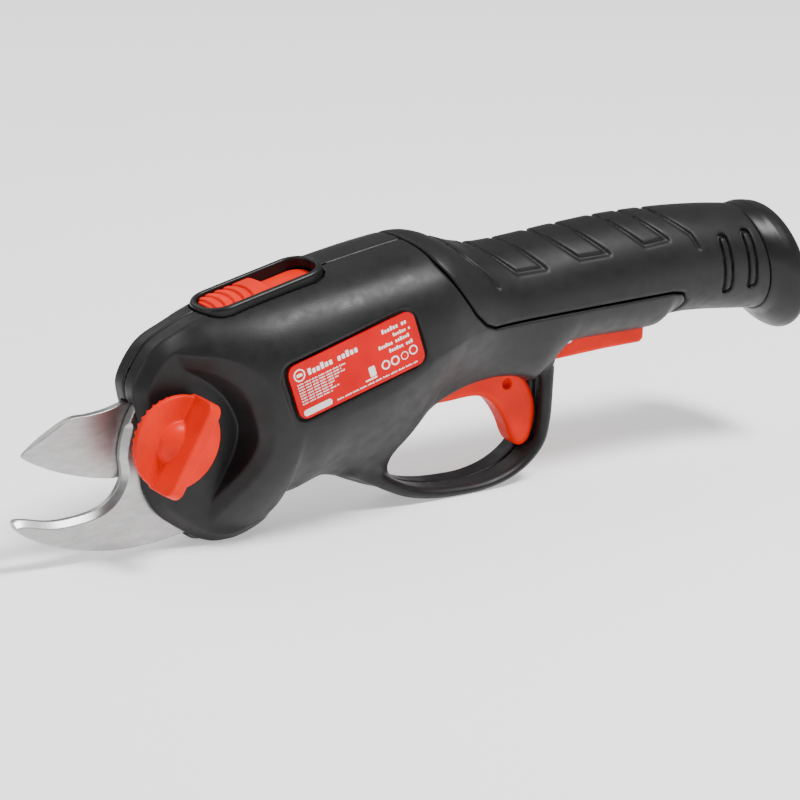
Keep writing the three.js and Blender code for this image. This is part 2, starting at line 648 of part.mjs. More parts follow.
// A raised pad with ribs across it in front, sloping to a low deck that slips under the bezel.
function sliderBody() {
  const { under, deck, pad } = slider;
  const { count, pitch, width, half } = sliderRibs;
  const end = bezel.length / 2 - slotInset;
  const side = plate(polygon([[-end, under], [end, under], [end, deck], [5, deck], [0, pad], [-end, pad]]),
    -beyond, beyond);
  const pieces = [bezelPlate(slotInset, 0, under, beyond).intersect(placed(side, bezelSeat))];
  for (let i = 0; i < count; i += 1) {
    const u = 3 - end + pitch * i;
    const crest = box(u, u + width, -half, half, pad - 0.5, pad + 0.6);
    pieces.push(placed(crest, bezelSeat));
  }
  return joined(...pieces);
}
add('lock_slider', sliderBody(), 'red');

// ---------------------------------------------------------------- blades, lever and knob

const counterOutline = smoothLoop([[-104.9, 47.6], [-108.6, 41], [-110.4, 32.3], [-109.7, 25.6],
  [-112.8, 19.4], [-118, 16.2], [-132.5, 14.9], [-144, 17.3], [-146.8, 17.2], [-146.2, 14.6],
  [-139, 9.9], [-129.1, 6], [-116.5, 3.2], [-105.8, 2.4], [-95.7, 3], [-87, 4.2], [-79, 4.4],
  [-74, 8.6], [-71.8, 17], [-72.5, 33], [-77, 43.6], [-86, 45.8], [-96, 45.9], [-101, 47.6]], 60);
const pivotHole = barY(-beyond, beyond, boltRadius + running, pivot.x, pivot.z);
add('counter_blade', cutBy(plate(outlineOf(counterOutline), hook.back, hook.front), pivotHole), 'blade');

// The lever at the back of the cutting blade leans back from the pivot, with a slot for the pin.
function leverAt(distance, aside) {
  const lean = { x: Math.sin(openLean), z: Math.cos(openLean) };
  return [pivot.x + lean.x * distance + lean.z * aside, pivot.z + lean.z * distance - lean.x * aside];
}

// A straight strip along the lever from one distance to the other.
function leverStrip(from, to, halfWidth, y0, y1) {
  const corners = [leverAt(from, -halfWidth), leverAt(from, halfWidth), leverAt(to, halfWidth),
    leverAt(to, -halfWidth)];
  return plate(polygon(corners), y0, y1);
}

function cuttingBlade() {
  const leverHalf = 4.3;
  const reach = leverArm / Math.cos(openLean);
  const lever = leverStrip(0, reach, leverHalf, blade.back, blade.front);
  const leverEnd = barY(blade.back, blade.front, leverHalf, ...leverAt(reach, 0));
  const outline = smoothOutline([[-143.2, 36.5], [-136, 40.6], [-126.2, 45.4], [-120, 45.6],
    [-113.7, 46.2], [-107.7, 47.6], [-101, 48.6], [-95, 46.2], [-89.6, 42.3], [-88.5, 37.7],
    [-90.6, 31.6], [-97.7, 28.4], [-103, 26], [-109.9, 24.3], [-116, 25.1], [-125.3, 27.6],
    [-133.8, 30.8], [-141.2, 34.8]], 50);
  const edge = plate(outline, blade.back, blade.front);
  const slotHalf = pinRadius + running;
  const slotStart = leverArm - 0.4;
  const slot = joined(barY(-slabHalf, slabHalf, slotHalf, ...leverAt(slotStart, 0)),
    barY(-slabHalf, slabHalf, slotHalf, ...leverAt(reach, 0)),
    leverStrip(slotStart, reach, slotHalf, -slabHalf, slabHalf));
  return cutBy(joined(edge, lever, leverEnd), slot, pivotHole);
}
add('cutting_blade', cuttingBlade(), 'blade');

// The nut on the screw: a block with two ears, and the pin between them that drives the lever.
function driveNut() {
  const { back, front, half } = nutBlock;
  const block = box(front, back, -half, half, axisZ - half, axisZ + half);
  const earAt = (y0, y1) => box(pinX - ear.reach, front + 1, y0, y1, axisZ - ear.half, axisZ + ear.half);
  const body = joined(block, earAt(ear.near, blade.back - 0.6), earAt(blade.front + gap, ear.far));
  const bore = barX(front - 1.4, back + 1, screwRadius + running);
  return joined(cutBy(body, bore), barY(ear.near, ear.far, pinRadius, pinX, axisZ));
}
add('drive_nut', driveNut(), 'brass', finestTurning);

const boltShank = barY(boltHead.front - 0.1, nut.y1 + gap, boltRadius, pivot.x, pivot.z);
const boltHex = barY(boltHead.back, boltHead.front, boltHead.radius, pivot.x, pivot.z, 6);
add('pivot_bolt', joined(boltShank, boltHex), 'steel');
const washer = barY(knob.back + 0.4, -slabHalf - gap, 9, pivot.x, pivot.z);
add('knob_washer', cutBy(washer, pivotHole), 'steel');

// A flanged knob with a knurled skirt, a low dome and a fin across it to turn it by.
function bladeKnob() {
  const { radius, back, skirt, front, top, finHalf } = knob;
  const flange = barY(front, skirt + 0.2, radius, 0, 0, 48);
  const grip = barY(skirt, back, radius - 1.2, 0, 0, 36);
  const dome = new THREE.SphereGeometry(7.4, 20, 8);
  dome.scale(1, 0.7, 1);
  dome.translate(0, front + 0.4, 0);
  const hub = cutBy(solid(dome), barY(front + 1, 0, radius, 0, 0));
  const rightSide = [[radius - 0.6, -front - 0.2], [radius + 0.6, 18], [radius + 0.4, 22],
    [radius - 2, -top - 0.8], [radius - 7, -top]];
  const leftSide = rightSide.map(([u, height]) => [-u, height]).reverse();
  const fin = placed(plate(polygon([...rightSide, ...leftSide]), -finHalf, finHalf, 0.7, 0.5), layFlat);
  const turned = placed(joined(flange, grip, hub, fin), seat(pivot.x, 0, pivot.z, 0, -finAngle, 0));
  const hexHole = barY(boltHead.back - gap, 0, boltHead.radius + gap, pivot.x, pivot.z, 6);
  return cutBy(turned, hexHole, barY(boltHead.front - 0.7, 0, 7, pivot.x, pivot.z));
}
add('blade_knob', bladeKnob(), 'red');

// ---------------------------------------------------------------- drive

// A gear's outline, with a tooth pointing along `phase` degrees.
function gearSection(teeth, phase, tip, root, bore) {
  const points = [];
  for (let i = 0; i < teeth; i += 1) {
    const direction = THREE.MathUtils.degToRad(phase) + 2 * Math.PI * i / teeth;
    const corners = [[root, -0.53], [tip, -0.19], [tip, 0.19], [root, 0.53]];
    corners.forEach(([radius, aside]) => {
      const angle = direction + aside / radius;
      points.push(new THREE.Vector2(radius * Math.cos(angle), radius * Math.sin(angle)));
    });
  }
  const section = new THREE.Shape(points);
  if (bore > 0) section.holes.push(circle(0, 0, bore));
  return section;
}

const pitchRadius = gearModule * sunTeeth / 2;
const tipRadius = pitchRadius + tooth.above;
const rootRadius = pitchRadius - tooth.below;

function sun(x0, x1) {
  return bar(gearSection(sunTeeth, 90, tipRadius, rootRadius, 0), x0, x1).translate([0, 0, axisZ]);
}

// Where a planet's axle is.
function orbitPlace(degrees) {
  const angle = THREE.MathUtils.degToRad(degrees);
  return { y: orbit * Math.cos(angle), z: axisZ + orbit * Math.sin(angle) };
}

// A disc with the axles that its stage's planets turn on.
function carrier(disc, stage) {
  const pins = planetAngles.map((degrees) => {
    const { y, z } = orbitPlace(degrees);
    return barX(disc.back - 0.5, stage.back - 0.2, carrierPinRadius, y, z, 14);
  });
  return joined(barX(disc.front, disc.back, carrierRadius), ...pins);
}

[firstStage, secondStage].forEach((stage, s) => {
  planetAngles.forEach((degrees, i) => {
    const { y, z } = orbitPlace(degrees);
    const phase = degrees + 180 / planetTeeth;
    const section = gearSection(planetTeeth, phase, tipRadius, rootRadius, carrierPinRadius + running);
    const planet = bar(section, stage.front + 0.1, stage.back - 0.1).translate([0, y, z]);
    add(`planet_${3 * s + i + 1}`, planet, 'nylon');
  });
});

const ringPitch = gearModule * ringTeeth / 2;
const ringSection = circle(0, 0, gearboxRadius);
ringSection.holes.push(gearSection(ringTeeth, 90, ringPitch - tooth.above, ringPitch + tooth.below, 0));
const ringGear = bar(ringSection, frontPlate.back + gap, motor.front - gap).translate([0, 0, axisZ]);
add('ring_gear', ringGear, 'nylon');

const plateDisc = barX(frontPlate.front, frontPlate.back, gearboxRadius, 0, axisZ, 40);
add('gearbox_front_plate', cutBy(plateDisc, barX(-80, -40, screwRadius + gap)), 'steel');
const bearingDisc = barX(bearing.front, bearing.back, bearing.radius);
add('thrust_bearing', cutBy(bearingDisc, barX(-80, -40, screwRadius + running)), 'steel', finestTurning);

const secondSun = sun(secondStage.front, firstDisc.front + 0.5);
add('first_carrier', joined(carrier(firstDisc, firstStage), secondSun), 'steel');
const screwBar = barX(nutBlock.front - 0.7, secondDisc.front + 0.5, screwRadius);
add('drive_screw', joined(carrier(secondDisc, secondStage), screwBar), 'steel', finestTurning);

const motorBack = motor.front + motor.length;

// A shaft through the motor, with its iron core and the first sun.
function motorShaft() {
  const front = firstStage.front + 0.2;
  const shaft = barX(front, motorBack + 2, shaftRadius, 0, axisZ, 20);
  const core = barX(motor.front + 3, motorBack - 2, motor.radius - motor.wall - 1.3);
  return joined(shaft, sun(front, firstStage.back), core);
}

function motorCan() {
  const inside = barX(motor.front + motor.wall, motorBack + 1, motor.radius - motor.wall);
  return cutBy(barX(motor.front, motorBack, motor.radius), inside, barX(-50, motorBack, shaftRadius + gap));
}

// The plastic back of the motor, with its two terminals.
function motorEndBell() {
  const disc = barX(motorBack + gap, motorBack + 3, motor.radius - 0.2);
  const terminal = (y) => box(motorBack + 2.5, motorBack + 5, y - 0.6, y + 0.6, axisZ - 2, axisZ + 2);
  const bore = barX(motorBack - 1, motorBack + 6, shaftRadius + running, 0, axisZ, 20);
  return cutBy(joined(disc, terminal(-7.4), terminal(7.4)), bore);
}

add('motor_shaft', motorShaft(), 'steel');
add('motor_can', motorCan(), 'steel');
add('motor_end_bell', motorEndBell(), 'trim');

// ---------------------------------------------------------------- battery and electrics

const cellBack = cell.x + cell.length;
add('battery_cell', joined(barX(cell.x, cellBack - 1.2, cell.radius, 0, cell.z),
  barX(cellBack - 2, cellBack, 3, 0, cell.z, 20)), 'cell');

// An upright board between the motor and the cell, with two chips and a capacitor on it.
function circuitBoard() {
  const near = 6;
  const far = 7.6;
  const board = box(7, 27, near, far, 52, 73);
  const driver = box(10, 17, near - 2.5, near + 0.5, 60, 68);
  const charger = box(19, 24, far - 0.4, far + 2.4, 56, 61);
  const capacitor = barY(near - 2.2, near + 0.5, 3, 22, 66, 16);
  return joined(board, driver, charger, capacitor);
}
add('circuit_board', circuitBoard(), 'board');

// A switch that hangs under a shelf, with a round button below it.
function shelfSwitch(x0, x1, low, shelfZ, buttonX, buttonRadius) {
  const body = box(x0, x1, -4, 4, low, shelfZ - gap);
  return joined(body, barY(-2.5, 2.5, buttonRadius, buttonX, low, 12));
}
add('trigger_switch', shelfSwitch(10, 22, 43.4, shelf.z, 20, 1), 'trim');
add('safety_switch', shelfSwitch(70, 80, 50.2, barShelf.z, 77, 0.8), 'trim');

// ---------------------------------------------------------------- trigger and safety bar

const triggerOutline = smoothOutline([[-4.4, 32], [2.9, 30.6], [9.7, 30.6], [16, 30.9],
  [20.6, 30.4], [24.4, 28.6], [27.6, 25.4], [31.2, 19.8], [33.2, 15.2], [35.2, 12.3], [37.6, 11.4],
  [40.1, 12.9], [41.7, 16.9], [42.5, 22.9], [41.2, 28.5], [38.7, 33], [35.5, 37], [31.6, 38.7],
  [26, 39], [12, 39.4], [3, 39.6], [-1.5, 39.6], [-4.6, 38], [-5.2, 35]], 50);
const pinHole = (pin) => barY(-beyond, beyond, leverPin.radius + running, pin.x, pin.z, 20);
const dimple = { x: 30.4, z: 33.6, radius: 1.75, depth: 2 };
const dimples = [-1, 1].map((side) => {
  const deep = side * (triggerHalf - dimple.depth);
  const out = side * beyond;
  return barY(Math.min(deep, out), Math.max(deep, out), dimple.radius, dimple.x, dimple.z, 16);
});
const triggerBody = plate(triggerOutline, -triggerHalf, triggerHalf, 2, 0.9);
add('trigger', cutBy(triggerBody, pinHole(triggerPin), ...dimples), 'red');

const barOutline = polygon([[46.3, 39.6], [66.7, 40.4], [80.4, 40.5], [81.8, 41.8], [81.8, 46.2],
  [80, 46.8], [58, 47], [52.2, 49.2], [49, 50.2], [46.4, 49.4], [46, 47], [46, 40]]);
add('safety_bar', cutBy(plate(barOutline, -barHalf, barHalf, 0.8, 0.5), pinHole(barPin)), 'red');
Object.entries({ trigger_pin: triggerPin, bar_pin: barPin }).forEach(([name, pin]) => {
  add(name, barY(-leverPin.half, leverPin.half, leverPin.radius, pin.x, pin.z, 20), 'steel');
});
add('trigger_spring', coil(30, 0, 39.3, shelf.z - gap, 2.6, 0.4, 4), 'steel');
add('bar_spring', coil(62, 0, 47.3, barShelf.z - gap, 2.4, 0.4, 3), 'steel');

// ---------------------------------------------------------------- origin under the middle

const bounds = new THREE.Box3().setFromObject(group);
const centre = bounds.getCenter(new THREE.Vector3());
group.children.forEach((mesh) => mesh.geometry.translate(-centre.x, -centre.y, -bounds.min.z));

export default group;
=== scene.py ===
"""Battery electric pruner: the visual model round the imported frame.

Shapes are worked out in millimetres, in the axes that the outlines are given in, as signed
distances on a grid of points (negative inside), and then skinned. `SHIFT` takes them to the frame.
"""

import json
import math

import bpy
import numpy as np
import openvdb
from mathutils import Matrix, Vector

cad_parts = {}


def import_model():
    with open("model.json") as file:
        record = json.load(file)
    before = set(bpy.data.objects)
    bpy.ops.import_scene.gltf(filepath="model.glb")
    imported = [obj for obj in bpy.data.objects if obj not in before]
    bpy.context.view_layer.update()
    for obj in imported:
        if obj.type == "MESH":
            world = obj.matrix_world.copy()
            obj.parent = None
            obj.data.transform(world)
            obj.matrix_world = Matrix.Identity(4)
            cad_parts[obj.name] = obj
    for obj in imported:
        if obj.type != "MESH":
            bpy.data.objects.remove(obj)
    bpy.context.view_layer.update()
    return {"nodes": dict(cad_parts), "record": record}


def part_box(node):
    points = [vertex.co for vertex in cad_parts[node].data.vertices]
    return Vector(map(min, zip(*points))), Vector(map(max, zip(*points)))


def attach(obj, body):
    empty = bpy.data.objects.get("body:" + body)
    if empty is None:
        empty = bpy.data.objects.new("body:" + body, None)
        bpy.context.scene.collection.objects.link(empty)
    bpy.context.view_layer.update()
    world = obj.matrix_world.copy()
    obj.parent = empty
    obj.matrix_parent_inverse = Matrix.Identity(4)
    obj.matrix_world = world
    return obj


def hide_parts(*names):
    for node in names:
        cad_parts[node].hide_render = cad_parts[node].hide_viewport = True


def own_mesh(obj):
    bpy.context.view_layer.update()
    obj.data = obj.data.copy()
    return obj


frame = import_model()

# ---------------------------------------------------------------- sizes

# The blades' pivot seen from the side. The washer on it tells how far along x the frame is shifted.
MM = 0.001
washer_low, washer_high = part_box("knob_washer")
PIVOT = (-97.7, 37.7)
SHIFT = (washer_low.x + washer_high.x) / 2 / MM - PIVOT[0]

# Distances between samples for the body, the small parts, the blades and the cap.
STEP = 0.55
FINE = 0.3
EDGE = 0.25
CAP_STEP = 0.4
BAND = 4  # steps either side of a surface that its distance is kept for
NORMAL_REACH = 0.7  # steps either side that a surface's slope is measured over

# The boxes that the pieces are worked out in, as low and high corners.
BOXES = {
    "left_shell": ((-110.4, -28.6, -0.8), (129.6, 0.6, 88)),
    "right_shell": ((-110.4, -0.6, -0.8), (129.6, 28.6, 88)),
    "soft_grip": ((-12, -27.4, 42), (129.6, 27.4, 88)),
    "bezel_ring": ((-88, -10.4, 64), (-36, 10.4, 88)),
    "thumb_slider": ((-86, -8.4, 64), (-40, 8.4, 86)),
    "trigger_lever": ((-6.4, -5.2, 11), (42.4, 5.2, 41)),
    "grip_bar": ((45.2, -8, 38.8), (82.6, 8, 51)),
    "knob_fin": ((-114.4, -26.2, 21), (-81, -10.6, 54.4)),
    "hook_blade": ((-148, -4.1, 1.6), (-71, 0.1, 48.6)),
    "moving_blade": ((-144, -0.3, 23.6), (-84.6, 3, 58.6)),
    "rear_end": ((116, -22.6, 34), (143.5, 22.6, 81)),
}

# Flat sheets that an outline's distance is worked out on, as low and high corners and a step.
POCKET_SHEET = ((-136, -40), (-40, 110), 0.5)
CAP_SHEET = ((-7, -6), (16, 27), 0.25)
FAR = 20  # further than any distance that matters to a surface

# The body: its flat nose, swollen barrel, walls and the plane that its halves meet at.
SLAB_HALF = 9.0
NOSE_BEVEL = 3.6
POCKET_BEVEL = 3.0
POCKET_LEAN = 0.1
BROW = {"start": 38, "height": 18, "lean": 0.8}
BARREL_START = -103
LOOP_EDGE = 3.2
STRAP = {"half": 1.6, "flare": 2.8, "thinnest": 0.45, "across": 8.5}
WALL = 2.6
HANDLE_START = 4
HANDLE_INSET = 4.4
GAP = 0.3
SEAM = 0.15
SEAM_EDGE = 0.7

# The sleeve and its grooves. Its seat is a little larger than the outline, and itself a little smaller.
SLEEVE = 2.0
SEAT_LARGER = 0.2
SLEEVE_SMALLER = 0.25
GROOVE = {"half": 0.5, "depth": 0.9}
PILL = {"radius": 1.5, "half": 0.55, "depth": 1.3}

# Rooms for the works, as (x, x, y, y, z, z), round rooms on the drive line, and slots.
BULKHEAD = -58.8
PAST_BULKHEAD = BULKHEAD + 1
AXIS_Z = 52.7
LEVER_ROOM = (-106, -84, -0.2, 2.9, 46, 58.3)
NUT_ROOM = (-94.2, -71.5, -6.3, 6.3, AXIS_Z - 6.3, AXIS_Z + 6.3)
PIN_ROOM = (-104.3, -85, -5.5, 6.4, AXIS_Z - 4.3, AXIS_Z + 4.3)
SCREW_ROOM = {"radius": 2.9, "start": -72}
BEARING_ROOM = {"radius": 8.3, "start": -64.6}
BLADES_ROOM = (-4.1, 2.9)
TRIGGER_ROOM_HALF = 4.85
BAR_ROOM_HALF = 7.9
BOLT_ROOM = 3.4
CAPTIVE_NUT = {"radius": 6, "floor": 5}

# The housing screws, and the sizes of their heads, shanks and bosses.
SCREWS = [(-89.4, 64.4), (-66.5, 8.6), (-50, 21), (-23.7, 19.5), (38, 45), (102.4, 62), (-0.6, 76.5)]
SCREW = {"head": 2.9, "head_height": 2.6, "shank": 1.6, "tip": -7.6, "boss": 4}

# The bezel, with the wall and floor of its seat, and the slider under it, as heights from its rim.
BEZEL_AT = (-62.3, 79.2)
BEZEL_TILT = math.radians(12.4)
BEZEL = {"length": 43.8, "width": 18.4, "corner": 8.0, "wall": 2.1, "depth": 8.0}
BEZEL_SEAT = {"wall": 1.9, "floor": 1.4}
SLIDER = {"travel": 5.0, "end_gap": 0.4, "pad": -0.1, "tunnel_top": -3.5, "deck": -3.6, "under": -7.4}
SLIDER_CROWN = 0.016
SLOPE = {"start": 0.5, "length": 5, "scale": 0.9}
RIBS = {"count": 5, "first": -34.5, "pitch": 3.3, "bend": 17, "half": 0.45, "depth": 1.0}

# The label, and how much longer, taller and rounder its seat, its ledge and the wall behind it are.
LABEL = {"x": -41.3, "y": -25.4, "z": 56.8, "length": 45.5, "height": 17.6, "corner": 3.0, "thick": 0.8}
LABEL_LEAN, LABEL_TURN, LABEL_YAW = (math.radians(angle) for angle in (5, 17, 4.4))
LABEL_SEAT = (2, 2, 1)
LABEL_LEDGE = (4.4, 7, 2)
LABEL_BACKING = (4, 8, 0)
LEDGE_AT = (-0.6, -2.2)
LEDGE_DEPTH = 0.5
BACKING_DEPTH = 2.2

# The label's print, in label axes: words as (left, right, middle, height), bars as (left, right,
# bottom, top, corner) and rings as (x, z, radius, width). Letters are set by shares of their height.
MARK_LOW, MARK_HIGH = 0.02, -0.05
WORDS = [(-16.2, 2.0, 5.0, 2.1), (10.8, 20.8, 6.2, 1.4), (14.2, 20.8, 3.9, 1.1), (8.4, 20.8, 1.8, 1.2),
         (11.6, 20.8, -0.4, 1.2), (-20.8, -3.5, 2.4, 0.5), (-20.8, -5, 1.5, 0.5), (-20.8, -4.2, 0.6, 0.5),
         (-20.8, -6.5, -0.3, 0.5), (-20.8, -8, -1.2, 0.5), (-20.8, -9.5, -2.1, 0.5),
         (-20.8, -7.2, -3, 0.5), (-20.8, -9.8, -3.9, 0.5), (-9.5, 20.0, -7.4, 0.55)]
BARS = [(-21.3, -11.2, -7.9, -5.9, 0.95), (-20.2, -18.2, 4.7, 5.7, 0.3), (3.2, 5.4, -5.6, -2.4, 0.4),
        (1.2, 5.4, -6.4, -5.9, 0.2)]
RINGS = [(-19.2, 5.2, 2.0, 0.45), (9.2, -4.0, 1.5, 0.5), (12.6, -4.0, 1.5, 0.5), (19.4, -3.4, 1.5, 0.4),
         (16.1, -3.9, 1.3, 0.25)]
RING_POINTS = 32
CORNER_POINTS = 7
LETTER = {"pitch": 0.72, "width": 0.72, "low": 0.72, "corner": 0.15, "tall_every": 3, "space_every": 7}

# The knob and the bolt's head in it, with places across the body from the parting plane.
FLANGE = {"radius": 15, "outer": -15, "inner": -12.9}
SKIRT = {"radius": 13.9, "outer": -13.4, "inner": -11.3, "teeth": 36, "depth": 0.45}
DOME = {"radius": 7.2, "y": -14.2, "flatness": 1.35, "base": -13.5}
FIN_LEAN = math.radians(61.4)
FIN = {"y": -18.3, "length": 31.2, "height": 14.4, "corner": 3.4, "half": 2.1, "base": -13.2}
BOLT = {"radius": 3.1, "head": 5.4, "head_top": -13.9}

# The blades: where each lies across the body, and how its edge is ground. The scales here and on the
# slider's slope bring a height over a sloping face near to the true distance from it.
HOOK = {"outer": -3.8, "inner": -0.2, "land": 2.0, "slope": 1.0, "scale": 0.75}
KNIFE = {"inner": 0.1, "outer": 2.6, "land": 0.35, "slope": 0.3, "scale": 0.9}
LEVER_LEAN = math.radians(18)
LEVER = {"rise": 15, "half": 4.3, "slot_start": 14.6, "slot_half": 2.1}

TRIGGER_HALF = 4.5
TRIGGER_PIN = (-1.5, 36.5)
BAR_HALF = 7.5
BAR_PIN = (49, 47.5)
PIN_HOLE = 1.6
DIMPLE_AT = (30.4, 33.6)
DIMPLE = {"radius": 1.75, "depth": 2}
WIRE, WIRE_END = 0.4, 0.02
WIRE_SIDES = 10
RINGS_PER_TURN = 24

CAP_TILT = math.radians(11)
CAP_FRONT = (124.0, 61.4)
CAP_BORES = [(-12, 3.6), (2, 1.7)]  # height and radius
CAP_INSIDE = 8

# Lines that shape the barrel, each smooth through (x, value) points.
TOP = [(-104, 62), (-101, 65.5), (-93, 70), (-85, 73), (-60, 78), (-33, 82.4), (-12, 85.5), (-3, 86.15),
       (6, 83.2), (13, 81), (24, 79.6), (53, 81.6), (72, 82.6), (92, 82.2), (112, 80.6), (132, 77.8)]
BOTTOM = [(-104, 56), (-94, 12), (-85, 1.2), (-78, 0), (-70, 0), (-64, 1.6), (-59.6, 4.4), (-57.2, 9),
          (-50, 10.6), (-40, 13.2), (-33, 12.3), (-26, 9.4), (-18, 7), (-12, 9), (-4, 21), (6, 27),
          (20, 30), (36, 31), (44, 39), (49, 44), (84, 44.4), (88, 47.3), (100, 47.5), (122, 45),
          (132, 43.8)]
WIDTH = [(-104, 6.5), (-92, 12.5), (-84, 17.4), (-72, 23.2), (-60, 25.5), (-45, 26.8), (-25, 27.5),
         (-8, 27), (4, 24.4), (15, 21.6), (28, 20.2), (50, 19.3), (90, 18.3), (132, 18.2)]
MIDDLE = [(-104, 60), (-80, 50), (-60, 47), (-30, 50), (0, 59), (30, 61.5), (60, 63), (100, 64.8),
          (132, 60.8)]
TOP_POWER = [(-104, 2.1), (-60, 2.6), (-30, 2.9), (0, 2.6), (25, 2.2), (132, 2.05)]
LOW_POWER = [(-104, 2), (-60, 1.75), (-35, 1.5), (-15, 1.2), (5, 1.35), (25, 1.7), (50, 2.2), (132, 2.05)]

# Outlines seen from the side, as (x, z) points. All are closed but GUARD, the strap's middle line.
NOSE = [(-107.6, 49.4), (-108.2, 53.6), (-105.6, 59.9), (-100.6, 65.8), (-92.8, 69.6), (-84, 72.6),
        (-72, 73), (-62, 62), (-58, 40), (-57, 22), (-57, 9), (-59.6, 4.4), (-65.4, 1.5), (-71, 0),
        (-78, 0), (-84, 2), (-90.4, 5.9), (-99, 12.6), (-102.8, 19), (-104.2, 25), (-105.2, 40)]
POCKET = [(-99, 62.2), (-93.3, 58.9), (-86, 54.4), (-80.2, 49.6), (-75.6, 43.8), (-73, 37), (-74, 30),
          (-77.2, 23.2), (-80.8, 17), (-83.8, 11), (-85, 4), (-85.4, -6), (-126, -6), (-130, 30),
          (-122, 66), (-106, 66)]
OPENING = [(-14.9, 17.6), (-13.6, 13.4), (-9.6, 8.6), (-5, 5.7), (3, 3.3), (14, 2.7), (22, 3),
           (29.6, 4.6), (34.6, 6.6), (38.9, 10.2), (40.9, 14), (42, 21), (41.4, 26), (39.2, 30.4),
           (35.2, 34.6), (30, 37.4), (23, 38.5), (16, 38.2), (9, 36.8), (2.6, 34.2), (-3, 31.2),
           (-7.6, 28), (-11.4, 24), (-14.1, 20.6)]
GUARD = [(-27, 15), (-15, 8), (-7, 4.3), (2, 2.2), (12, 1.45), (22, 1.7), (31, 3.8), (38.2, 7.9),
         (42.7, 13.4), (44.2, 21), (44.4, 33), (44.4, 46)]
GRIP = [(-10, 110), (-9.4, 86), (-8.2, 81.7), (-1.8, 72.7), (3.4, 65.6), (8.1, 61.3), (12.7, 59.3),
        (85, 59.3), (89.4, 58.4), (91.5, 55.6), (91, 53.8), (89.6, 51.6), (89.6, 20), (150, 20),
        (150, 110)]
BLADE_SLOT = [(-125, -20), (-92, -20), (-86, 3.6), (-76, 3.6), (-71, 9), (-71, 48.3), (-125, 48.3)]
TRIGGER_SLOT = [(-5.8, 43), (-5.8, 29), (37.6, 10.4), (42.4, 13.2), (44.1, 18.5), (44.2, 26), (44.2, 37),
                (37.2, 43)]
BAR_SLOT = [(45.7, 38), (82.2, 38), (82.2, 49), (78, 50), (55, 50), (51, 51), (45.7, 51)]
TRIGGER = [(-4.4, 32), (2.9, 30.6), (9.7, 30.6), (16, 30.9), (20.6, 30.4), (24.4, 28.6), (27.6, 25.4),
           (31.2, 19.8), (33.2, 15.2), (35.2, 12.3), (37.6, 11.4), (40.1, 12.9), (41.7, 16.9),
           (42.5, 22.9), (41.2, 28.5), (38.7, 33), (35.5, 37), (31.6, 38.7), (26, 39), (12, 39.4),
           (3, 39.6), (-1.5, 39.6), (-4.6, 38), (-5.2, 35)]
BAR = [(46.3, 39.6), (66.7, 40.4), (80.4, 40.5), (81.8, 41.8), (81.8, 46.2), (80, 46.8), (58, 47),
       (52.2, 49.2), (49, 50.2), (46.4, 49.4), (46, 47), (46, 40)]
COUNTER = [(-104.9, 47.6), (-108.6, 41), (-110.4, 32.3), (-109.7, 25.6), (-112.8, 19.4), (-118, 16.2),
           (-132.5, 14.9), (-144, 17.3), (-146.7, 17.2), (-146.1, 14.6), (-139, 9.9), (-129.1, 6),
           (-116.5, 3.2), (-105.8, 2.4), (-95.7, 3), (-87, 4.2), (-79, 4.4), (-74, 8.6), (-71.8, 17),
           (-72.5, 33), (-77, 43.6), (-86, 45.8), (-96, 45.9), (-101, 47.6)]
CUTTER = [(-143.2, 36.5), (-136, 40.6), (-126.2, 45.4), (-120, 45.6), (-113.7, 46.2), (-107.7, 47.6),
          (-101, 48.6), (-95, 46.2), (-89.6, 42.3), (-88.5, 37.7), (-90.6, 31.6), (-97.7, 28.4),
          (-103, 26), (-109.9, 24.3), (-116, 25.1), (-125.3, 27.6), (-133.8, 30.8), (-141.2, 34.8)]

# The stretches of the blades' outlines that their edges are ground along.
HOOK_EDGE = COUNTER[1:9]
KNIFE_EDGE = CUTTER[13:] + CUTTER[:1]

# Grooves moulded over the grip, as (x, height) points on its near side; they mirror to the far side.
GRIP_LINES = [
    [(2, 86), (6.6, 79.9), (14.8, 71.5)],
    [(15, 82), (24.3, 73.8), (35.2, 73.8), (27, 82)],
    [(39, 83), (48.8, 75), (60.1, 75.1), (51, 83)],
    [(65, 84), (74.4, 75.7), (83.9, 76.2), (75, 84)],
    [(84, 84), (93.4, 76.5), (95, 72.5)],
]

# The rear cap, as (behind its front, radius) points round its wall, and the drop of its middle.
CAP_PROFILE = [(0, 17.6), (0.3, 18), (1.4, 18.5), (2.8, 19.1), (4.2, 19.9), (5.8, 20.9), (7.4, 21.6),
               (8.4, 21.9), (9.3, 22), (10.4, 21.8), (11.4, 21.2), (12.2, 20.2), (13, 18), (13.4, 15),
               (13.6, 12), (13.6, -5), (11.2, -5), (11.2, 12), (11, 15), (10.2, 17.6), (9, 19.3),
               (7.2, 19), (4.2, 17.3), (2, 16.2), (1.9, 9.2), (-5, 9.2), (-5, 10.7), (0, 10.7)]
CAP_DROP = [(0, 0), (1.4, -0.5), (2.8, -1.2), (4.2, -2.2), (5.8, -3.3), (7.4, -4.5), (8.4, -5.1),
            (9.3, -5.6), (10.4, -5.8), (12.2, -6), (13.6, -6.1)]
REAR_SLOTS = [[(105.4, 73.3), (107.2, 58)], [(115.4, 73.4), (116.9, 58.5)]]

# ---------------------------------------------------------------- lines and loops


def ease(t):
    """Goes smoothly from 0 to 1 while t does, and is level outside."""
    t = np.clip(t, 0, 1)
    return t * t * (3 - 2 * t)


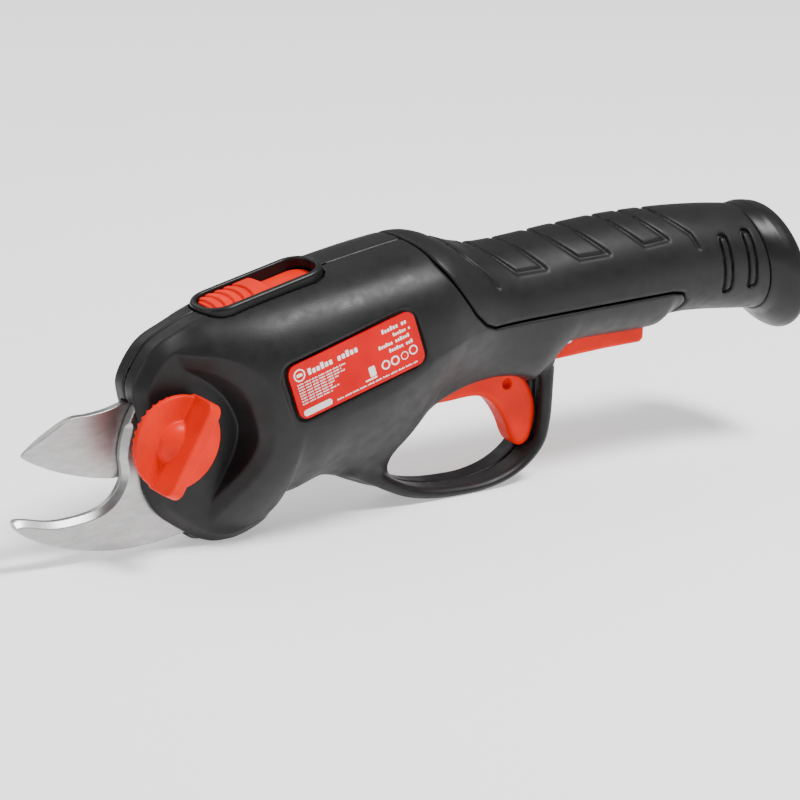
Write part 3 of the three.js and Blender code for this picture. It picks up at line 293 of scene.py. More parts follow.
def along(points, x):
    """The smooth line through the points, at every x."""
    xs, vs = np.array(points, float).T
    after = np.minimum(np.arange(len(xs)) + 1, len(xs) - 1)
    before = np.maximum(np.arange(len(xs)) - 1, 0)
    slope = (vs[after] - vs[before]) / (xs[after] - xs[before])
    i = np.clip(np.searchsorted(xs, x, "right") - 1, 0, len(xs) - 2)
    span = xs[i + 1] - xs[i]
    t = np.clip((x - xs[i]) / span, 0, 1)
    lift = t * (1 - t) ** 2 * slope[i] - t * t * (1 - t) * slope[i + 1]
    return vs[i] + (vs[i + 1] - vs[i]) * ease(t) + span * lift


def smooth(points, steps=8, closed=True):
    """A centripetal curve through the points, with `steps` straight pieces between each two."""
    p = np.array(points, float)
    if closed:
        p = np.vstack([p[-1], p, p[0], p[1]])
    else:
        p = np.vstack([2 * p[0] - p[1], p, 2 * p[-1] - p[-2]])
    out = []
    for a, b, c, d in zip(p[:-3], p[1:-2], p[2:-1], p[3:]):
        knots = np.cumsum([0] + [math.sqrt(np.linalg.norm(q - r)) for q, r in ((b, a), (c, b), (d, c))])
        for t in knots[1] + (knots[2] - knots[1]) * np.arange(steps) / steps:
            level = [a, b, c, d]
            for spans in (((0, 1), (1, 2), (2, 3)), ((0, 2), (1, 3)), ((1, 2),)):
                shares = [(t - knots[i]) / (knots[j] - knots[i]) for i, j in spans]
                level = [p0 + (p1 - p0) * share for p0, p1, share in zip(level, level[1:], shares)]
            out.append(level[0])
    if not closed:
        out.append(p[-2])
    return np.array(out)


# ---------------------------------------------------------------- signed distances


class Space:
    """Sample points `step` mm apart in a box."""

    def __init__(self, low, high, step):
        self.low = np.array(low, float)
        self.step = step
        count = np.ceil((np.array(high) - self.low) / step).astype(int) + 1
        axes = [(self.low[k] + step * np.arange(count[k])).astype(np.float32) for k in range(3)]
        self.x, self.y, self.z = np.meshgrid(*axes, indexing="ij", sparse=True)

    def side_view(self, function):
        """A field that doesn't change along y, from a function of x and z."""
        x, z = np.broadcast_arrays(self.x[:, 0, :], self.z[0])
        return function(x, z)[:, None, :].astype(np.float32)


def line_distance(points, x, z, closed=True):
    """Distance to a line through the points, and how far along it the nearest place is, from 0 to 1."""
    ends = np.roll(points, -1, axis=0) if closed else points[1:]
    best = np.full(x.shape, 1e9)
    place = np.zeros(x.shape)
    for k, ((ax, az), (bx, bz)) in enumerate(zip(points, ends)):
        ex, ez = bx - ax, bz - az
        t = np.clip(((x - ax) * ex + (z - az) * ez) / max(ex * ex + ez * ez, 1e-9), 0, 1)
        d = (x - ax - t * ex) ** 2 + (z - az - t * ez) ** 2
        place = np.where(d < best, (k + t) / len(ends), place)
        best = np.minimum(best, d)
    return np.sqrt(best), place


def loop_distance(points, x, z):
    """Signed distance to a closed loop, negative inside."""
    inside = np.zeros(x.shape, bool)
    for (ax, az), (bx, bz) in zip(points, np.roll(points, -1, axis=0)):
        if az != bz:
            crosses = (az > z) != (bz > z)
            inside ^= crosses & (x < (bx - ax) * (z - az) / (bz - az) + ax)
    return np.where(inside, -1, 1) * line_distance(points, x, z)[0]


def union(a, b, soft=0.0):
    """What lies in either, with the corner between them filled out by `soft`."""
    if not soft:
        return np.minimum(a, b)
    blend = np.maximum(soft - np.abs(a - b), 0) / soft
    return np.minimum(a, b) - blend * blend * soft / 4


def both(a, b, soft=0.0):
    """What lies in both."""
    return -union(-a, -b, soft)


def cut(a, tool, soft=0.0):
    """What is left of a shape outside the tool."""
    return -union(-a, tool, soft)


def bevelled(a, b, size):
    """What lies in both, with the edge where they meet cut off at 45 degrees and a little softened."""
    return both(np.maximum(a, b), (a + b + size) * math.sqrt(0.5), size / 8)


def slab(v, low, high):
    """Distance to everything between two planes."""
    return np.abs(v - (low + high) / 2) - (high - low) / 2


def outline(space, points):
    """Signed distance to a closed outline seen from the side."""
    return space.side_view(lambda x, z: loop_distance(np.array(points, float), x, z))


def near_line(space, points):
    """Distance to an open line seen from the side."""
    return space.side_view(lambda x, z: line_distance(np.array(points, float), x, z, closed=False)[0])


def plate(space, points, y0, y1, soft=0.0):
    """An outline seen from the side, with thickness across the body."""
    return both(outline(space, points), slab(space.y, y0, y1), soft)


def block(space, x0, x1, y0, y1, z0, z1):
    """A box with square edges."""
    return both(both(slab(space.x, x0, x1), slab(space.y, y0, y1)), slab(space.z, z0, z1))


def rod_y(space, x, z, radius):
    """A rod across the body."""
    return np.sqrt((space.x - x) ** 2 + (space.z - z) ** 2) - radius


def rod_x(space, radius):
    """A rod along the drive line."""
    return np.sqrt(space.y**2 + (space.z - AXIS_Z) ** 2) - radius


def turned(space, x, z, tilt):
    """How far each sample is from (x, z) along a tilted line and square to it, seen from the side."""
    dx, dz = space.x - x, space.z - z
    c, s = math.cos(tilt), math.sin(tilt)
    return dx * c + dz * s, dz * c - dx * s


def round_box(u, v, length, width, corner):
    """Signed distance to a rectangle with round corners, centred on 0, 0."""
    a = np.abs(u) - (length / 2 - corner)
    b = np.abs(v) - (width / 2 - corner)
    return np.sqrt(np.maximum(a, 0) ** 2 + np.maximum(b, 0) ** 2) + np.minimum(np.maximum(a, b), 0) - corner


def sampled(field, low, step, *at):
    """A field on a grid read between its points, for any number of dimensions."""
    spots = [np.clip((a - o) / step, 0, n - 1.001) for a, o, n in zip(at, low, field.shape)]
    base = [s.astype(np.int32) for s in spots]
    part = [s - b for s, b in zip(spots, base)]
    total = 0.0
    for corner in range(2 ** len(at)):
        bits = [(corner >> k) & 1 for k in range(len(at))]
        weight = 1.0
        for bit, p in zip(bits, part):
            weight = weight * (p if bit else 1 - p)
        total = total + weight * field[tuple(b + bit for b, bit in zip(base, bits))]
    return total


def sheet_distance(points, low, high, step, x, z):
    """Signed distance to a loop, read from samples on a flat sheet. Both x and z may change along y."""
    sheet = Space((low[0], 0, low[1]), (high[0], 0, high[1]), step)
    flat = outline(sheet, points)[:, 0]
    return sampled(flat, low, step, *np.broadcast_arrays(x, z))


# ---------------------------------------------------------------- skins


def mesh_piece(name, points, faces, body, material, *nodes):
    """A smooth-shaded mesh from points in millimetres and faces that all have as many corners."""
    mesh = bpy.data.meshes.new(name)
    corners = faces.shape[1]
    mesh.vertices.add(len(points))
    mesh.vertices.foreach_set("co", ((points + (SHIFT, 0, 0)) * MM).astype(np.float32).ravel())
    mesh.loops.add(faces.size)
    mesh.loops.foreach_set("vertex_index", faces.astype(np.int32).ravel())
    mesh.polygons.add(len(faces))
    mesh.polygons.foreach_set("loop_start", np.arange(0, faces.size, corners, dtype=np.int32))
    mesh.update(calc_edges=True)
    mesh.polygons.foreach_set("use_smooth", np.ones(len(faces), bool))
    piece = bpy.data.objects.new(name, mesh)
    bpy.context.scene.collection.objects.link(piece)
    mesh.materials.append(MATERIALS[material])
    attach(piece, body)
    if nodes:
        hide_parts(*nodes)
    return piece


def skin(name, step, shape, body, material, node):
    """The surface where the shape's distance is zero, shaded by that distance's own slope."""
    space = Space(*BOXES[name], step)
    band = BAND * step
    field = np.ascontiguousarray(np.clip(shape(space), -band, band), dtype=np.float32)
    grid = openvdb.FloatGrid(band)
    grid.copyFromArray(field)
    at, quads = grid.convertToQuads(isovalue=0.0)
    points = space.low + at * step
    slope = []
    for side in np.eye(3) * NORMAL_REACH * step:
        ahead = sampled(field, space.low, step, *(points + side).T)
        behind = sampled(field, space.low, step, *(points - side).T)
        slope.append(ahead - behind)
    normals = np.stack(slope, axis=1)
    normals /= np.maximum(np.linalg.norm(normals, axis=1, keepdims=True), 1e-9)
    p = points[quads[:, :3]]
    facing = np.cross(p[:, 1] - p[:, 0], p[:, 2] - p[:, 0])
    if np.mean(np.sum(facing * normals[quads[:, 0]], axis=1)) < 0:
        quads = quads[:, ::-1]
    piece = mesh_piece(name, points, quads, body, material, node)
    piece.data.normals_split_custom_set_from_vertices(normals.astype(np.float32))


# ---------------------------------------------------------------- materials

# Noise scales per metre, shares that colour and roughness vary by, heights in millimetres and shine.
MOULDED = {"mottle": 60, "color": 0.15, "sheen": 220, "roughness": 0.06, "shine": 0.24}
COLOURED = {"grain": 900, "height": 0.006, "shine": 0.1}
GROUND = {"lines": 420, "sheen": 40, "dark": 0.86, "light": 1.08, "roughness": 0.07, "height": 0.01}
NOISE_MIDDLE = (0.3, 0.7)  # where most of the noise's values lie
FLOOR = {"dark": 0.925, "light": 0.935, "roughness": 0.75, "mottle": 3, "glow": 0.5}


class Paint:
    """One material's nodes, made with short calls."""

    def __init__(self, name, color, roughness, metallic=0.0):
        self.material = bpy.data.materials.new(name)
        self.material.use_nodes = True
        self.nodes = self.material.node_tree.nodes
        self.links = self.material.node_tree.links
        self.shader = self.nodes["Principled BSDF"]
        self.shader.inputs["Base Color"].default_value = (*color, 1)
        self.shader.inputs["Roughness"].default_value = roughness
        self.shader.inputs["Metallic"].default_value = metallic
        self.place = self.nodes.new("ShaderNodeTexCoord").outputs["Object"]

    def noise(self, scale, detail=4.0, stretch=(1, 1, 1)):
        """Noise over the piece, finer where the stretch is larger."""
        mapping = self.nodes.new("ShaderNodeMapping")
        mapping.inputs["Scale"].default_value = stretch
        self.links.new(self.place, mapping.inputs["Vector"])
        noise = self.nodes.new("ShaderNodeTexNoise")
        noise.inputs["Scale"].default_value = scale
        noise.inputs["Detail"].default_value = detail
        self.links.new(mapping.outputs["Vector"], noise.inputs["Vector"])
        return noise.outputs["Fac"]

    def spread(self, value, low, high):
        """The value, from around its middle, spread to run from low to high."""
        ranged = self.nodes.new("ShaderNodeMapRange")
        ranged.inputs["From Min"].default_value = NOISE_MIDDLE[0]
        ranged.inputs["From Max"].default_value = NOISE_MIDDLE[1]
        ranged.inputs["To Min"].default_value = low
        ranged.inputs["To Max"].default_value = high
        self.links.new(value, ranged.inputs["Value"])
        return ranged.outputs["Result"]

    def tint(self, value, color, dark, light):
        """Makes the surface run from the colour times dark to the colour times light."""
        mix = self.nodes.new("ShaderNodeMix")
        mix.data_type = "RGBA"
        mix.inputs["A"].default_value = (*(c * dark for c in color), 1)
        mix.inputs["B"].default_value = (*(c * light for c in color), 1)
        self.links.new(self.spread(value, 0, 1), mix.inputs["Factor"])
        self.links.new(mix.outputs["Result"], self.shader.inputs["Base Color"])

    def rough(self, value, middle, vary):
        """Makes the roughness run a little to either side of its middle."""
        ranged = self.spread(value, middle - vary, middle + vary)
        self.links.new(ranged, self.shader.inputs["Roughness"])

    def bump(self, value, height, strength=1.0):
        """Raises the surface by up to a height in millimetres."""
        bump = self.nodes.new("ShaderNodeBump")
        bump.inputs["Strength"].default_value = strength
        bump.inputs["Distance"].default_value = height * MM
        self.links.new(value, bump.inputs["Height"])
        self.links.new(bump.outputs["Normal"], self.shader.inputs["Normal"])


def moulded(name, color, roughness, grain, height):
    """Moulded plastic or rubber with a fine grain, a little uneven in colour and sheen."""
    paint = Paint(name, color, roughness)
    paint.tint(paint.noise(MOULDED["mottle"]), color, 1 - MOULDED["color"], 1 + MOULDED["color"])
    paint.rough(paint.noise(MOULDED["sheen"], detail=2), roughness, MOULDED["roughness"])
    paint.bump(paint.noise(grain, detail=3), height)
    paint.shader.inputs["Specular IOR Level"].default_value = MOULDED["shine"]
    return paint


def coloured(name, color, roughness):
    """Plastic with a finer grain, whose colour isn't washed out by shine."""
    paint = moulded(name, color, roughness, COLOURED["grain"], COLOURED["height"])
    paint.shader.inputs["Specular IOR Level"].default_value = COLOURED["shine"]
    return paint


def ground_steel(name, color, roughness, stretch):
    """Steel with fine grinding lines along one axis."""
    paint = Paint(name, color, roughness, metallic=1.0)
    lines = paint.noise(GROUND["lines"], detail=6, stretch=stretch)
    paint.tint(lines, color, GROUND["dark"], GROUND["light"])
    paint.rough(paint.noise(GROUND["sheen"], stretch=stretch), roughness, GROUND["roughness"])
    paint.bump(lines, GROUND["height"], strength=0.4)
    return paint


def make_materials():
    """One material for each slot of the record."""
    made = {
        "housing": moulded("housing", (0.01, 0.01, 0.0105), 0.44, 2600, 0.03),
        "sleeve": moulded("sleeve", (0.008, 0.008, 0.0084), 0.5, 1900, 0.04),
        "trim": moulded("trim", (0.008, 0.008, 0.0084), 0.38, 2400, 0.012),
        "red": coloured("red", (0.74, 0.012, 0.0), 0.34),
        "label": coloured("label", (0.6, 0.0, 0.003), 0.4),
        "blade": ground_steel("blade", (0.42, 0.42, 0.416), 0.4, (0.5, 1, 1.6)),
        "steel": ground_steel("steel", (0.4, 0.4, 0.41), 0.32, (1, 1, 0.2)),
        "brass": ground_steel("brass", (0.55, 0.36, 0.12), 0.35, (1, 0.2, 1)),
        "nylon": moulded("nylon", (0.68, 0.66, 0.57), 0.45, 900, 0.01),
        "cell": coloured("cell", (0.02, 0.13, 0.42), 0.35),
        "board": coloured("board", (0.012, 0.14, 0.04), 0.4),
        "lamp": coloured("lamp", (0.5, 0.75, 0.5), 0.12),
    }
    return {name: paint.material for name, paint in made.items()}


def print_material():
    """The label's pale ink."""
    return moulded("print", (0.82, 0.8, 0.78), 0.4, 700, 0.004).material


def floor_material():
    """A white sheet that glows a little, so that it stays white under soft light."""
    paint = Paint("floor", (FLOOR["light"],) * 3, FLOOR["roughness"])
    paint.tint(paint.noise(FLOOR["mottle"]), (1, 1, 1), FLOOR["dark"], FLOOR["light"])
    paint.shader.inputs["Emission Color"].default_value = (1, 1, 1, 1)
    paint.shader.inputs["Emission Strength"].default_value = FLOOR["glow"]
    return paint.material


MATERIALS = make_materials()

# ---------------------------------------------------------------- body


def barrel_distance(space):
    """Distance to the swollen body without its nose, guard or openings."""
    x = space.x[:, 0, 0]
    top, low, width, middle = (along(line, x)[:, None, None] for line in (TOP, BOTTOM, WIDTH, MIDDLE))
    up = space.z > middle
    reach = np.where(up, top - middle, middle - low)
    power = np.where(up, along(TOP_POWER, x)[:, None, None], along(LOW_POWER, x)[:, None, None])
    across = np.abs(space.y) / width
    tall = np.abs(space.z - middle) / reach
    share = ((across**power + tall**power) ** (1 / power)).astype(np.float32)
    slope = np.sqrt(sum(g * g for g in np.gradient(share, space.step)))
    return ((share - 1) / np.maximum(slope, 1e-3)).astype(np.float32)


def pocket_distance(space):
    """The room round the knob and the nut, in front of a crescent wall that leans out under the brow."""
    out = np.maximum(np.abs(space.y) - SLAB_HALF, 0)
    # The wall leans by its own height, so the height that it stands on is found in a few rounds.
    low_z = space.z + 0 * out
    for _ in range(3):
        brow = ease((low_z - BROW["start"]) / BROW["height"])
        low_z = space.z - BROW["lean"] * out * brow
    low_x = space.x - POCKET_LEAN * out
    wall = sheet_distance(smooth(POCKET, steps=6), *POCKET_SHEET, low_x, low_z).astype(np.float32)
    return both(wall, SLAB_HALF - np.abs(space.y), soft=0.4)


def guard_distance(space):
    """The strap round the finger loop, thinnest a little before its middle."""
    line = smooth(GUARD, closed=False)

    def strap(x, z):
        distance, place = line_distance(line, x, z, closed=False)
        return distance - STRAP["half"] - STRAP["flare"] * np.abs(place - STRAP["thinnest"]) ** 1.5

    return both(space.side_view(strap), np.abs(space.y) - STRAP["across"], soft=3.0)


def behind_cap(space):
    """How far behind the plane where the cap starts."""
    return turned(space, *CAP_FRONT, CAP_TILT)[0]


def bezel_plate(space, inset, extra, low, high, soft=0.0):
    """The bezel's oval, smaller all round by the inset and longer at the back by the extra."""
    u, w = turned(space, *BEZEL_AT, BEZEL_TILT)
    length, width = BEZEL["length"] - 2 * inset + extra, BEZEL["width"] - 2 * inset
    oval = round_box(u - extra / 2, space.y, length, width, BEZEL["corner"] - inset)
    return both(oval, slab(w, low, high), soft)


def label_matrix():
    """Turns label axes (along, out of the back, up) to the frame's, in millimetres before the shift."""
    turn = Matrix.Rotation(-LABEL_YAW, 4, "Z") @ Matrix.Rotation(-LABEL_LEAN, 4, "X")
    turn = turn @ Matrix.Rotation(-LABEL_TURN, 4, "Y")
    return Matrix.Translation((LABEL["x"], LABEL["y"], LABEL["z"])) @ turn


def label_place(space):
    """Where each sample is in label axes."""
    m = np.array(label_matrix().inverted())
    return [m[k, 0] * space.x + m[k, 1] * space.y + m[k, 2] * space.z + m[k, 3] for k in range(3)]


def label_outline(u, up, longer, taller, rounder):
    """The label's outline, made larger."""
    return round_box(u, up, LABEL["length"] + longer, LABEL["height"] + taller, LABEL["corner"] + rounder)


def label_recess(space):
    """The label's seat, deeper below it where a ledge shows."""
    u, back, up = label_place(space)
    seat = both(label_outline(u, up, *LABEL_SEAT), back - LABEL["thick"] - GAP, soft=0.5)
    ledge = label_outline(u - LEDGE_AT[0], up - LEDGE_AT[1], *LABEL_LEDGE)
    return union(seat, both(ledge, back - LEDGE_DEPTH, soft=1.2))


def hollow_distance(space, barrel, opening):
    """The room inside for the works, with walls left round the bezel, the label and the screws."""
    inset = np.where(space.x > HANDLE_START, HANDLE_INSET, WALL)
    room = both(barrel + inset, BULKHEAD - space.x)
    room = both(room, WALL - opening)
    floor_at = -BEZEL["depth"] - BEZEL_SEAT["floor"]
    room = cut(room, bezel_plate(space, -BEZEL_SEAT["wall"], SLIDER["travel"], floor_at, FAR))
    u, back, up = label_place(space)
    backing = both(label_outline(u, up, *LABEL_BACKING), back - LABEL["thick"] - BACKING_DEPTH)
    room = cut(room, backing)
    for x, z in SCREWS:
        room = cut(room, rod_y(space, x, z, SCREW["boss"]))
    return room


def works_distance(space):
    """The blade slot with the channels behind it, the slots of trigger and bar, and the screw's seats."""
    tool = plate(space, BLADE_SLOT, *BLADES_ROOM, soft=0.4)
    for room in (LEVER_ROOM, NUT_ROOM, PIN_ROOM):
        tool = union(tool, block(space, *room))
    tool = union(tool, rod_y(space, *PIVOT, BOLT_ROOM))
    for room in (SCREW_ROOM, BEARING_ROOM):
        length = slab(space.x, room["start"], PAST_BULKHEAD)
        tool = union(tool, both(rod_x(space, room["radius"]), length))
    tool = union(tool, plate(space, TRIGGER_SLOT, -TRIGGER_ROOM_HALF, TRIGGER_ROOM_HALF, soft=0.3))
    return union(tool, plate(space, BAR_SLOT, -BAR_ROOM_HALF, BAR_ROOM_HALF, soft=0.3))


def screw_holes(space):
    """Each screw's shank and, on the right, the round hole that its head sits in."""
    holes = FAR
    for number, (x, z) in enumerate(SCREWS, 1):
        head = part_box(f"housing_screw_{number}")[1].y / MM
        seat = both(rod_y(space, x, z, SCREW["head"]), head - SCREW["head_height"] - space.y)
        shank = both(rod_y(space, x, z, SCREW["shank"]), slab(space.y, SCREW["tip"], head))
        holes = union(holes, union(seat, shank))
    return holes


def housing(space, side):
    """One half of the moulded body. Side is -1 for the left half and 1 for the right."""
    barrel = barrel_distance(space)
    opening = outline(space, smooth(OPENING, steps=6))
    flat = outline(space, smooth(NOSE, steps=6))
    nose = bevelled(flat, slab(space.y, -SLAB_HALF, SLAB_HALF), NOSE_BEVEL)
    swollen = bevelled(barrel, -pocket_distance(space), POCKET_BEVEL)
    body = union(both(swollen, BARREL_START - space.x, soft=1), nose, soft=0.6)
    body = cut(body, opening, soft=LOOP_EDGE)
    body = union(body, guard_distance(space), soft=LOOP_EDGE)
    body = both(body, -space.z)
    body = both(body, behind_cap(space) + GAP)
    under_sleeve = both(outline(space, GRIP) - SEAT_LARGER, -(barrel + SLEEVE + GAP))
    body = cut(body, under_sleeve, soft=0.9)
    body = cut(body, hollow_distance(space, barrel, opening))
    body = cut(body, bezel_plate(space, -GAP, 0, -BEZEL["depth"] - GAP, FAR))
    low, high = SLIDER["under"] - GAP, SLIDER["tunnel_top"]
    body = cut(body, bezel_plate(space, BEZEL["wall"], SLIDER["travel"] + SLIDER["end_gap"], low, high))
    body = cut(body, works_distance(space), soft=0.5)
    if side < 0:
        body = cut(body, label_recess(space), soft=0.6)
    else:
        body = cut(body, screw_holes(space), soft=0.3)
        nut_seat = both(rod_y(space, *PIVOT, CAPTIVE_NUT["radius"]), CAPTIVE_NUT["floor"] - space.y)
        body = cut(body, nut_seat, soft=0.3)
    return both(body, SEAM - side * space.y, soft=SEAM_EDGE)


def left_shell(space):
    """The half with the knob and the label."""
    return housing(space, -1)


def right_shell(space):
    """The half with the captive nut and the screw heads."""
    return housing(space, 1)


def groove_distance(space, lines):
    """Distance to the nearest of several open lines seen from the side."""
    return np.min([near_line(space, line) for line in lines], axis=0)


def soft_grip(space):
    """The sleeve: a skin over the handle with moulded grooves."""
    barrel = barrel_distance(space)
    grip = outline(space, GRIP) + SLEEVE_SMALLER
    body = both(both(barrel, grip, soft=1.6), -(barrel + SLEEVE))
    body = both(body, behind_cap(space) + GAP, soft=0.8)
    grooves = groove_distance(space, GRIP_LINES) - GROOVE["half"]
    body = cut(body, both(grooves, -(barrel + GROOVE["depth"]), soft=0.5), soft=0.8)
    pills = np.abs(groove_distance(space, REAR_SLOTS) - PILL["radius"]) - PILL["half"]
    return cut(body, both(pills, -(barrel + PILL["depth"]), soft=0.3), soft=0.5)


# ---------------------------------------------------------------- trim and controls


def bezel_ring(space):
    """The raised oval ring, open behind for the slider."""
    below = -BEZEL["depth"] - 2
    ring = bezel_plate(space, 0, 0, -BEZEL["depth"], 0, soft=1.4)
    ring = cut(ring, bezel_plate(space, BEZEL["wall"], 0, below, FAR), soft=0.8)
    return cut(ring, bezel_plate(space, BEZEL["wall"], 2 * SLIDER["travel"], below, SLIDER["tunnel_top"]))


def thumb_slider(space):
    """A ribbed pad in front that slopes to a low deck."""
    u, w = turned(space, *BEZEL_AT, BEZEL_TILT)
    crown = SLIDER["pad"] - SLIDER_CROWN * space.y**2
    surface = crown + (SLIDER["deck"] - crown) * ease((u - SLOPE["start"]) / SLOPE["length"])
    body = bezel_plate(space, BEZEL["wall"] + GAP, 0, SLIDER["under"], FAR)
    body = both(body, (w - surface) * SLOPE["scale"], soft=1.0)
    for k in range(RIBS["count"]):
        centre = RIBS["first"] + RIBS["pitch"] * k
        arc = np.abs(np.sqrt((u - centre) ** 2 + space.y**2) - RIBS["bend"]) - RIBS["half"]
        body = cut(body, both(arc, surface - RIBS["depth"] - w, soft=0.3), soft=0.7)
    return body


def rear_end(space):
    """The flared cap: a closed cup with a collar into the handle, bored for the socket and the lamp."""
    back, up = turned(space, *CAP_FRONT, CAP_TILT)
    radius = np.sqrt(space.y**2 + (up - along(CAP_DROP, back)) ** 2)
    body = sheet_distance(CAP_PROFILE, *CAP_SHEET, back, radius)
    for height, bore in CAP_BORES:
        hole = np.sqrt(space.y**2 + (up - height) ** 2) - bore
        body = cut(body, both(hole, CAP_INSIDE - back))
    return body


def trigger_lever(space):
    """The trigger, with a dimple in each side and a hole for its pin."""
    body = plate(space, smooth(TRIGGER, steps=6), -TRIGGER_HALF, TRIGGER_HALF, soft=2.4)
    dimple = rod_y(space, *DIMPLE_AT, DIMPLE["radius"])
    body = cut(body, both(dimple, TRIGGER_HALF - DIMPLE["depth"] - np.abs(space.y)), soft=0.4)
    return cut(body, rod_y(space, *TRIGGER_PIN, PIN_HOLE))


def grip_bar(space):
    """The bar under the handle, with a hole for its pin."""
    body = plate(space, BAR, -BAR_HALF, BAR_HALF, soft=1.5)
    return cut(body, rod_y(space, *BAR_PIN, PIN_HOLE))


def knob_fin(space):
    """A flanged knob with a knurled skirt, a dome and a fin across it."""
    dx, dz = space.x - PIVOT[0], space.z - PIVOT[1]
    radius = np.sqrt(dx * dx + dz * dz)
    flange = both(radius - FLANGE["radius"], slab(space.y, FLANGE["outer"], FLANGE["inner"]), soft=0.7)
    knurl = radius - SKIRT["radius"] - SKIRT["depth"] * np.cos(SKIRT["teeth"] * np.arctan2(dz, dx))
    skirt = both(knurl, slab(space.y, SKIRT["outer"], SKIRT["inner"]), soft=0.3)
    dome = np.sqrt(radius**2 + ((space.y - DOME["y"]) * DOME["flatness"]) ** 2) - DOME["radius"]
    dome = both(dome, space.y - DOME["base"])
    run, off = turned(space, *PIVOT, FIN_LEAN)
    fin = round_box(run, space.y - FIN["y"], FIN["length"], FIN["height"], FIN["corner"])
    fin = both(both(fin, np.abs(off) - FIN["half"], soft=0.5), space.y - FIN["base"])
    body = union(union(flange, skirt), union(dome, fin, soft=0.6), soft=0.6)
    return cut(body, both(rod_y(space, *PIVOT, BOLT["head"]), slab(space.y, BOLT["head_top"], 0)))


# ---------------------------------------------------------------- blades


def hook_blade(space):
    """The hook, with its inner edge ground back on its outer side."""
    from_edge = near_line(space, smooth(HOOK_EDGE, closed=False))
    ground = (-space.y - HOOK["land"] - HOOK["slope"] * from_edge) * HOOK["scale"]
    body = plate(space, smooth(COUNTER), HOOK["outer"], HOOK["inner"], soft=0.3)
    body = both(body, ground, soft=0.1)
    return cut(body, rod_y(space, *PIVOT, BOLT["radius"]))


def lever_point(distance):
    """A place along the lever, so far from the pivot."""
    return PIVOT[0] + math.sin(LEVER_LEAN) * distance, PIVOT[1] + math.cos(LEVER_LEAN) * distance


def moving_blade(space):
    """The moving blade, ground to its lower edge, with its slotted lever above the pivot."""
    from_edge = near_line(space, smooth(KNIFE_EDGE, closed=False))
    ground = (space.y - KNIFE["land"] - KNIFE["slope"] * from_edge) * KNIFE["scale"]
    end = lever_point(LEVER["rise"] / math.cos(LEVER_LEAN))
    lever = near_line(space, [PIVOT, end]) - LEVER["half"]
    slot = near_line(space, [lever_point(LEVER["slot_start"]), end]) - LEVER["slot_half"]
    thickness = slab(space.y, KNIFE["inner"], KNIFE["outer"])
    body = union(both(outline(space, smooth(CUTTER)), thickness), both(lever, thickness), soft=0.6)
    body = both(body, ground, soft=0.1)
    return cut(cut(body, slot), rod_y(space, *PIVOT, BOLT["radius"]))


# ---------------------------------------------------------------- springs


def coil(name, node, turns):
    """A spring of `turns` turns in the node's place, running from the bottom to the top of its box."""
    low, high = (np.array(corner) / MM - (SHIFT, 0, 0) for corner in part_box(node))
    middle = (low + high) / 2
    radius = (high[1] - low[1]) / 2 - WIRE
    rings, sides = RINGS_PER_TURN * turns, WIRE_SIDES
    turn = np.linspace(0, 2 * np.pi * turns, rings)[:, None]
    around = np.linspace(0, 2 * np.pi, sides, endpoint=False)[None, :]
    thick = np.full((rings, 1), WIRE)
    thick[[0, -1]] = WIRE_END
    out = radius + thick * np.cos(around)
    rise = np.linspace(low[2] + WIRE, high[2] - WIRE, rings)[:, None] + thick * np.sin(around)
    points = np.stack([middle[0] + out * np.cos(turn), middle[1] + out * np.sin(turn), rise], axis=-1)
    start = (sides * np.arange(rings - 1)[:, None] + np.arange(sides)[None, :]).ravel()
    after = (sides * np.arange(rings - 1)[:, None] + (np.arange(sides) + 1) % sides).ravel()
    quads = np.stack([start, start + sides, after + sides, after], axis=1)
    piece = mesh_piece(name, points.reshape(-1, 3), quads, "handle", "steel", node)
    top = (Vector(middle) + Vector((SHIFT, 0, 0))) * MM
    top.z = high[2] * MM
    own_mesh(piece)


# ---------------------------------------------------------------- label


def rounded_plate(x0, x1, z0, z1, y0, y1, corner):
    """Points and faces of a thin plate with round corners, in label axes, as triangles."""
    quarter = math.pi / 2
    centres = [(x1 - corner, z1 - corner), (x0 + corner, z1 - corner), (x0 + corner, z0 + corner),
               (x1 - corner, z0 + corner)]
    ring = []
    for number, (cx, cz) in enumerate(centres):
        for turn in np.linspace(number * quarter, (number + 1) * quarter, CORNER_POINTS):
            ring.append((cx + corner * math.cos(turn), cz + corner * math.sin(turn)))
    count = len(ring)
    points = [(x, y, z) for y in (y0, y1) for x, z in ring]
    points += [((x0 + x1) / 2, y, (z0 + z1) / 2) for y in (y0, y1)]
    faces = []
    for k in range(count):
        n = (k + 1) % count
        faces += [(k, n, count + n), (k, count + n, count + k)]
        faces += [(2 * count, n, k), (2 * count + 1, count + k, count + n)]
    return np.array(points), np.array(faces)


def on_label(plates):
    """Several plates joined, and turned from label axes into place."""
    points, faces, start = [], [], 0
    for p, f in plates:
        points.append(p)
        faces.append(f + start)
        start += len(p)
    m = np.array(label_matrix())
    return np.vstack(points) @ m[:3, :3].T + m[:3, 3], np.vstack(faces)


def mark(x0, x1, z0, z1, corner):
    """A flat bar on the label's face."""
    return rounded_plate(x0, x1, z0, z1, MARK_HIGH, MARK_LOW, corner)


def ring_mark(x, z, radius, width):
    """A flat ring on the label's face."""
    turns = 2 * np.pi * np.arange(RING_POINTS) / RING_POINTS
    bands = [(MARK_LOW, radius), (MARK_HIGH, radius), (MARK_HIGH, radius - width), (MARK_LOW, radius - width)]
    points = [(x + r * math.cos(turn), y, z + r * math.sin(turn)) for y, r in bands for turn in turns]
    faces = []
    for band in range(len(bands)):
        here, there = band * RING_POINTS, (band + 1) % len(bands) * RING_POINTS
        for k in range(RING_POINTS):
            n = (k + 1) % RING_POINTS
            faces += [(here + k, here + n, there + n), (here + k, there + n, there + k)]
    return np.array(points), np.array(faces)


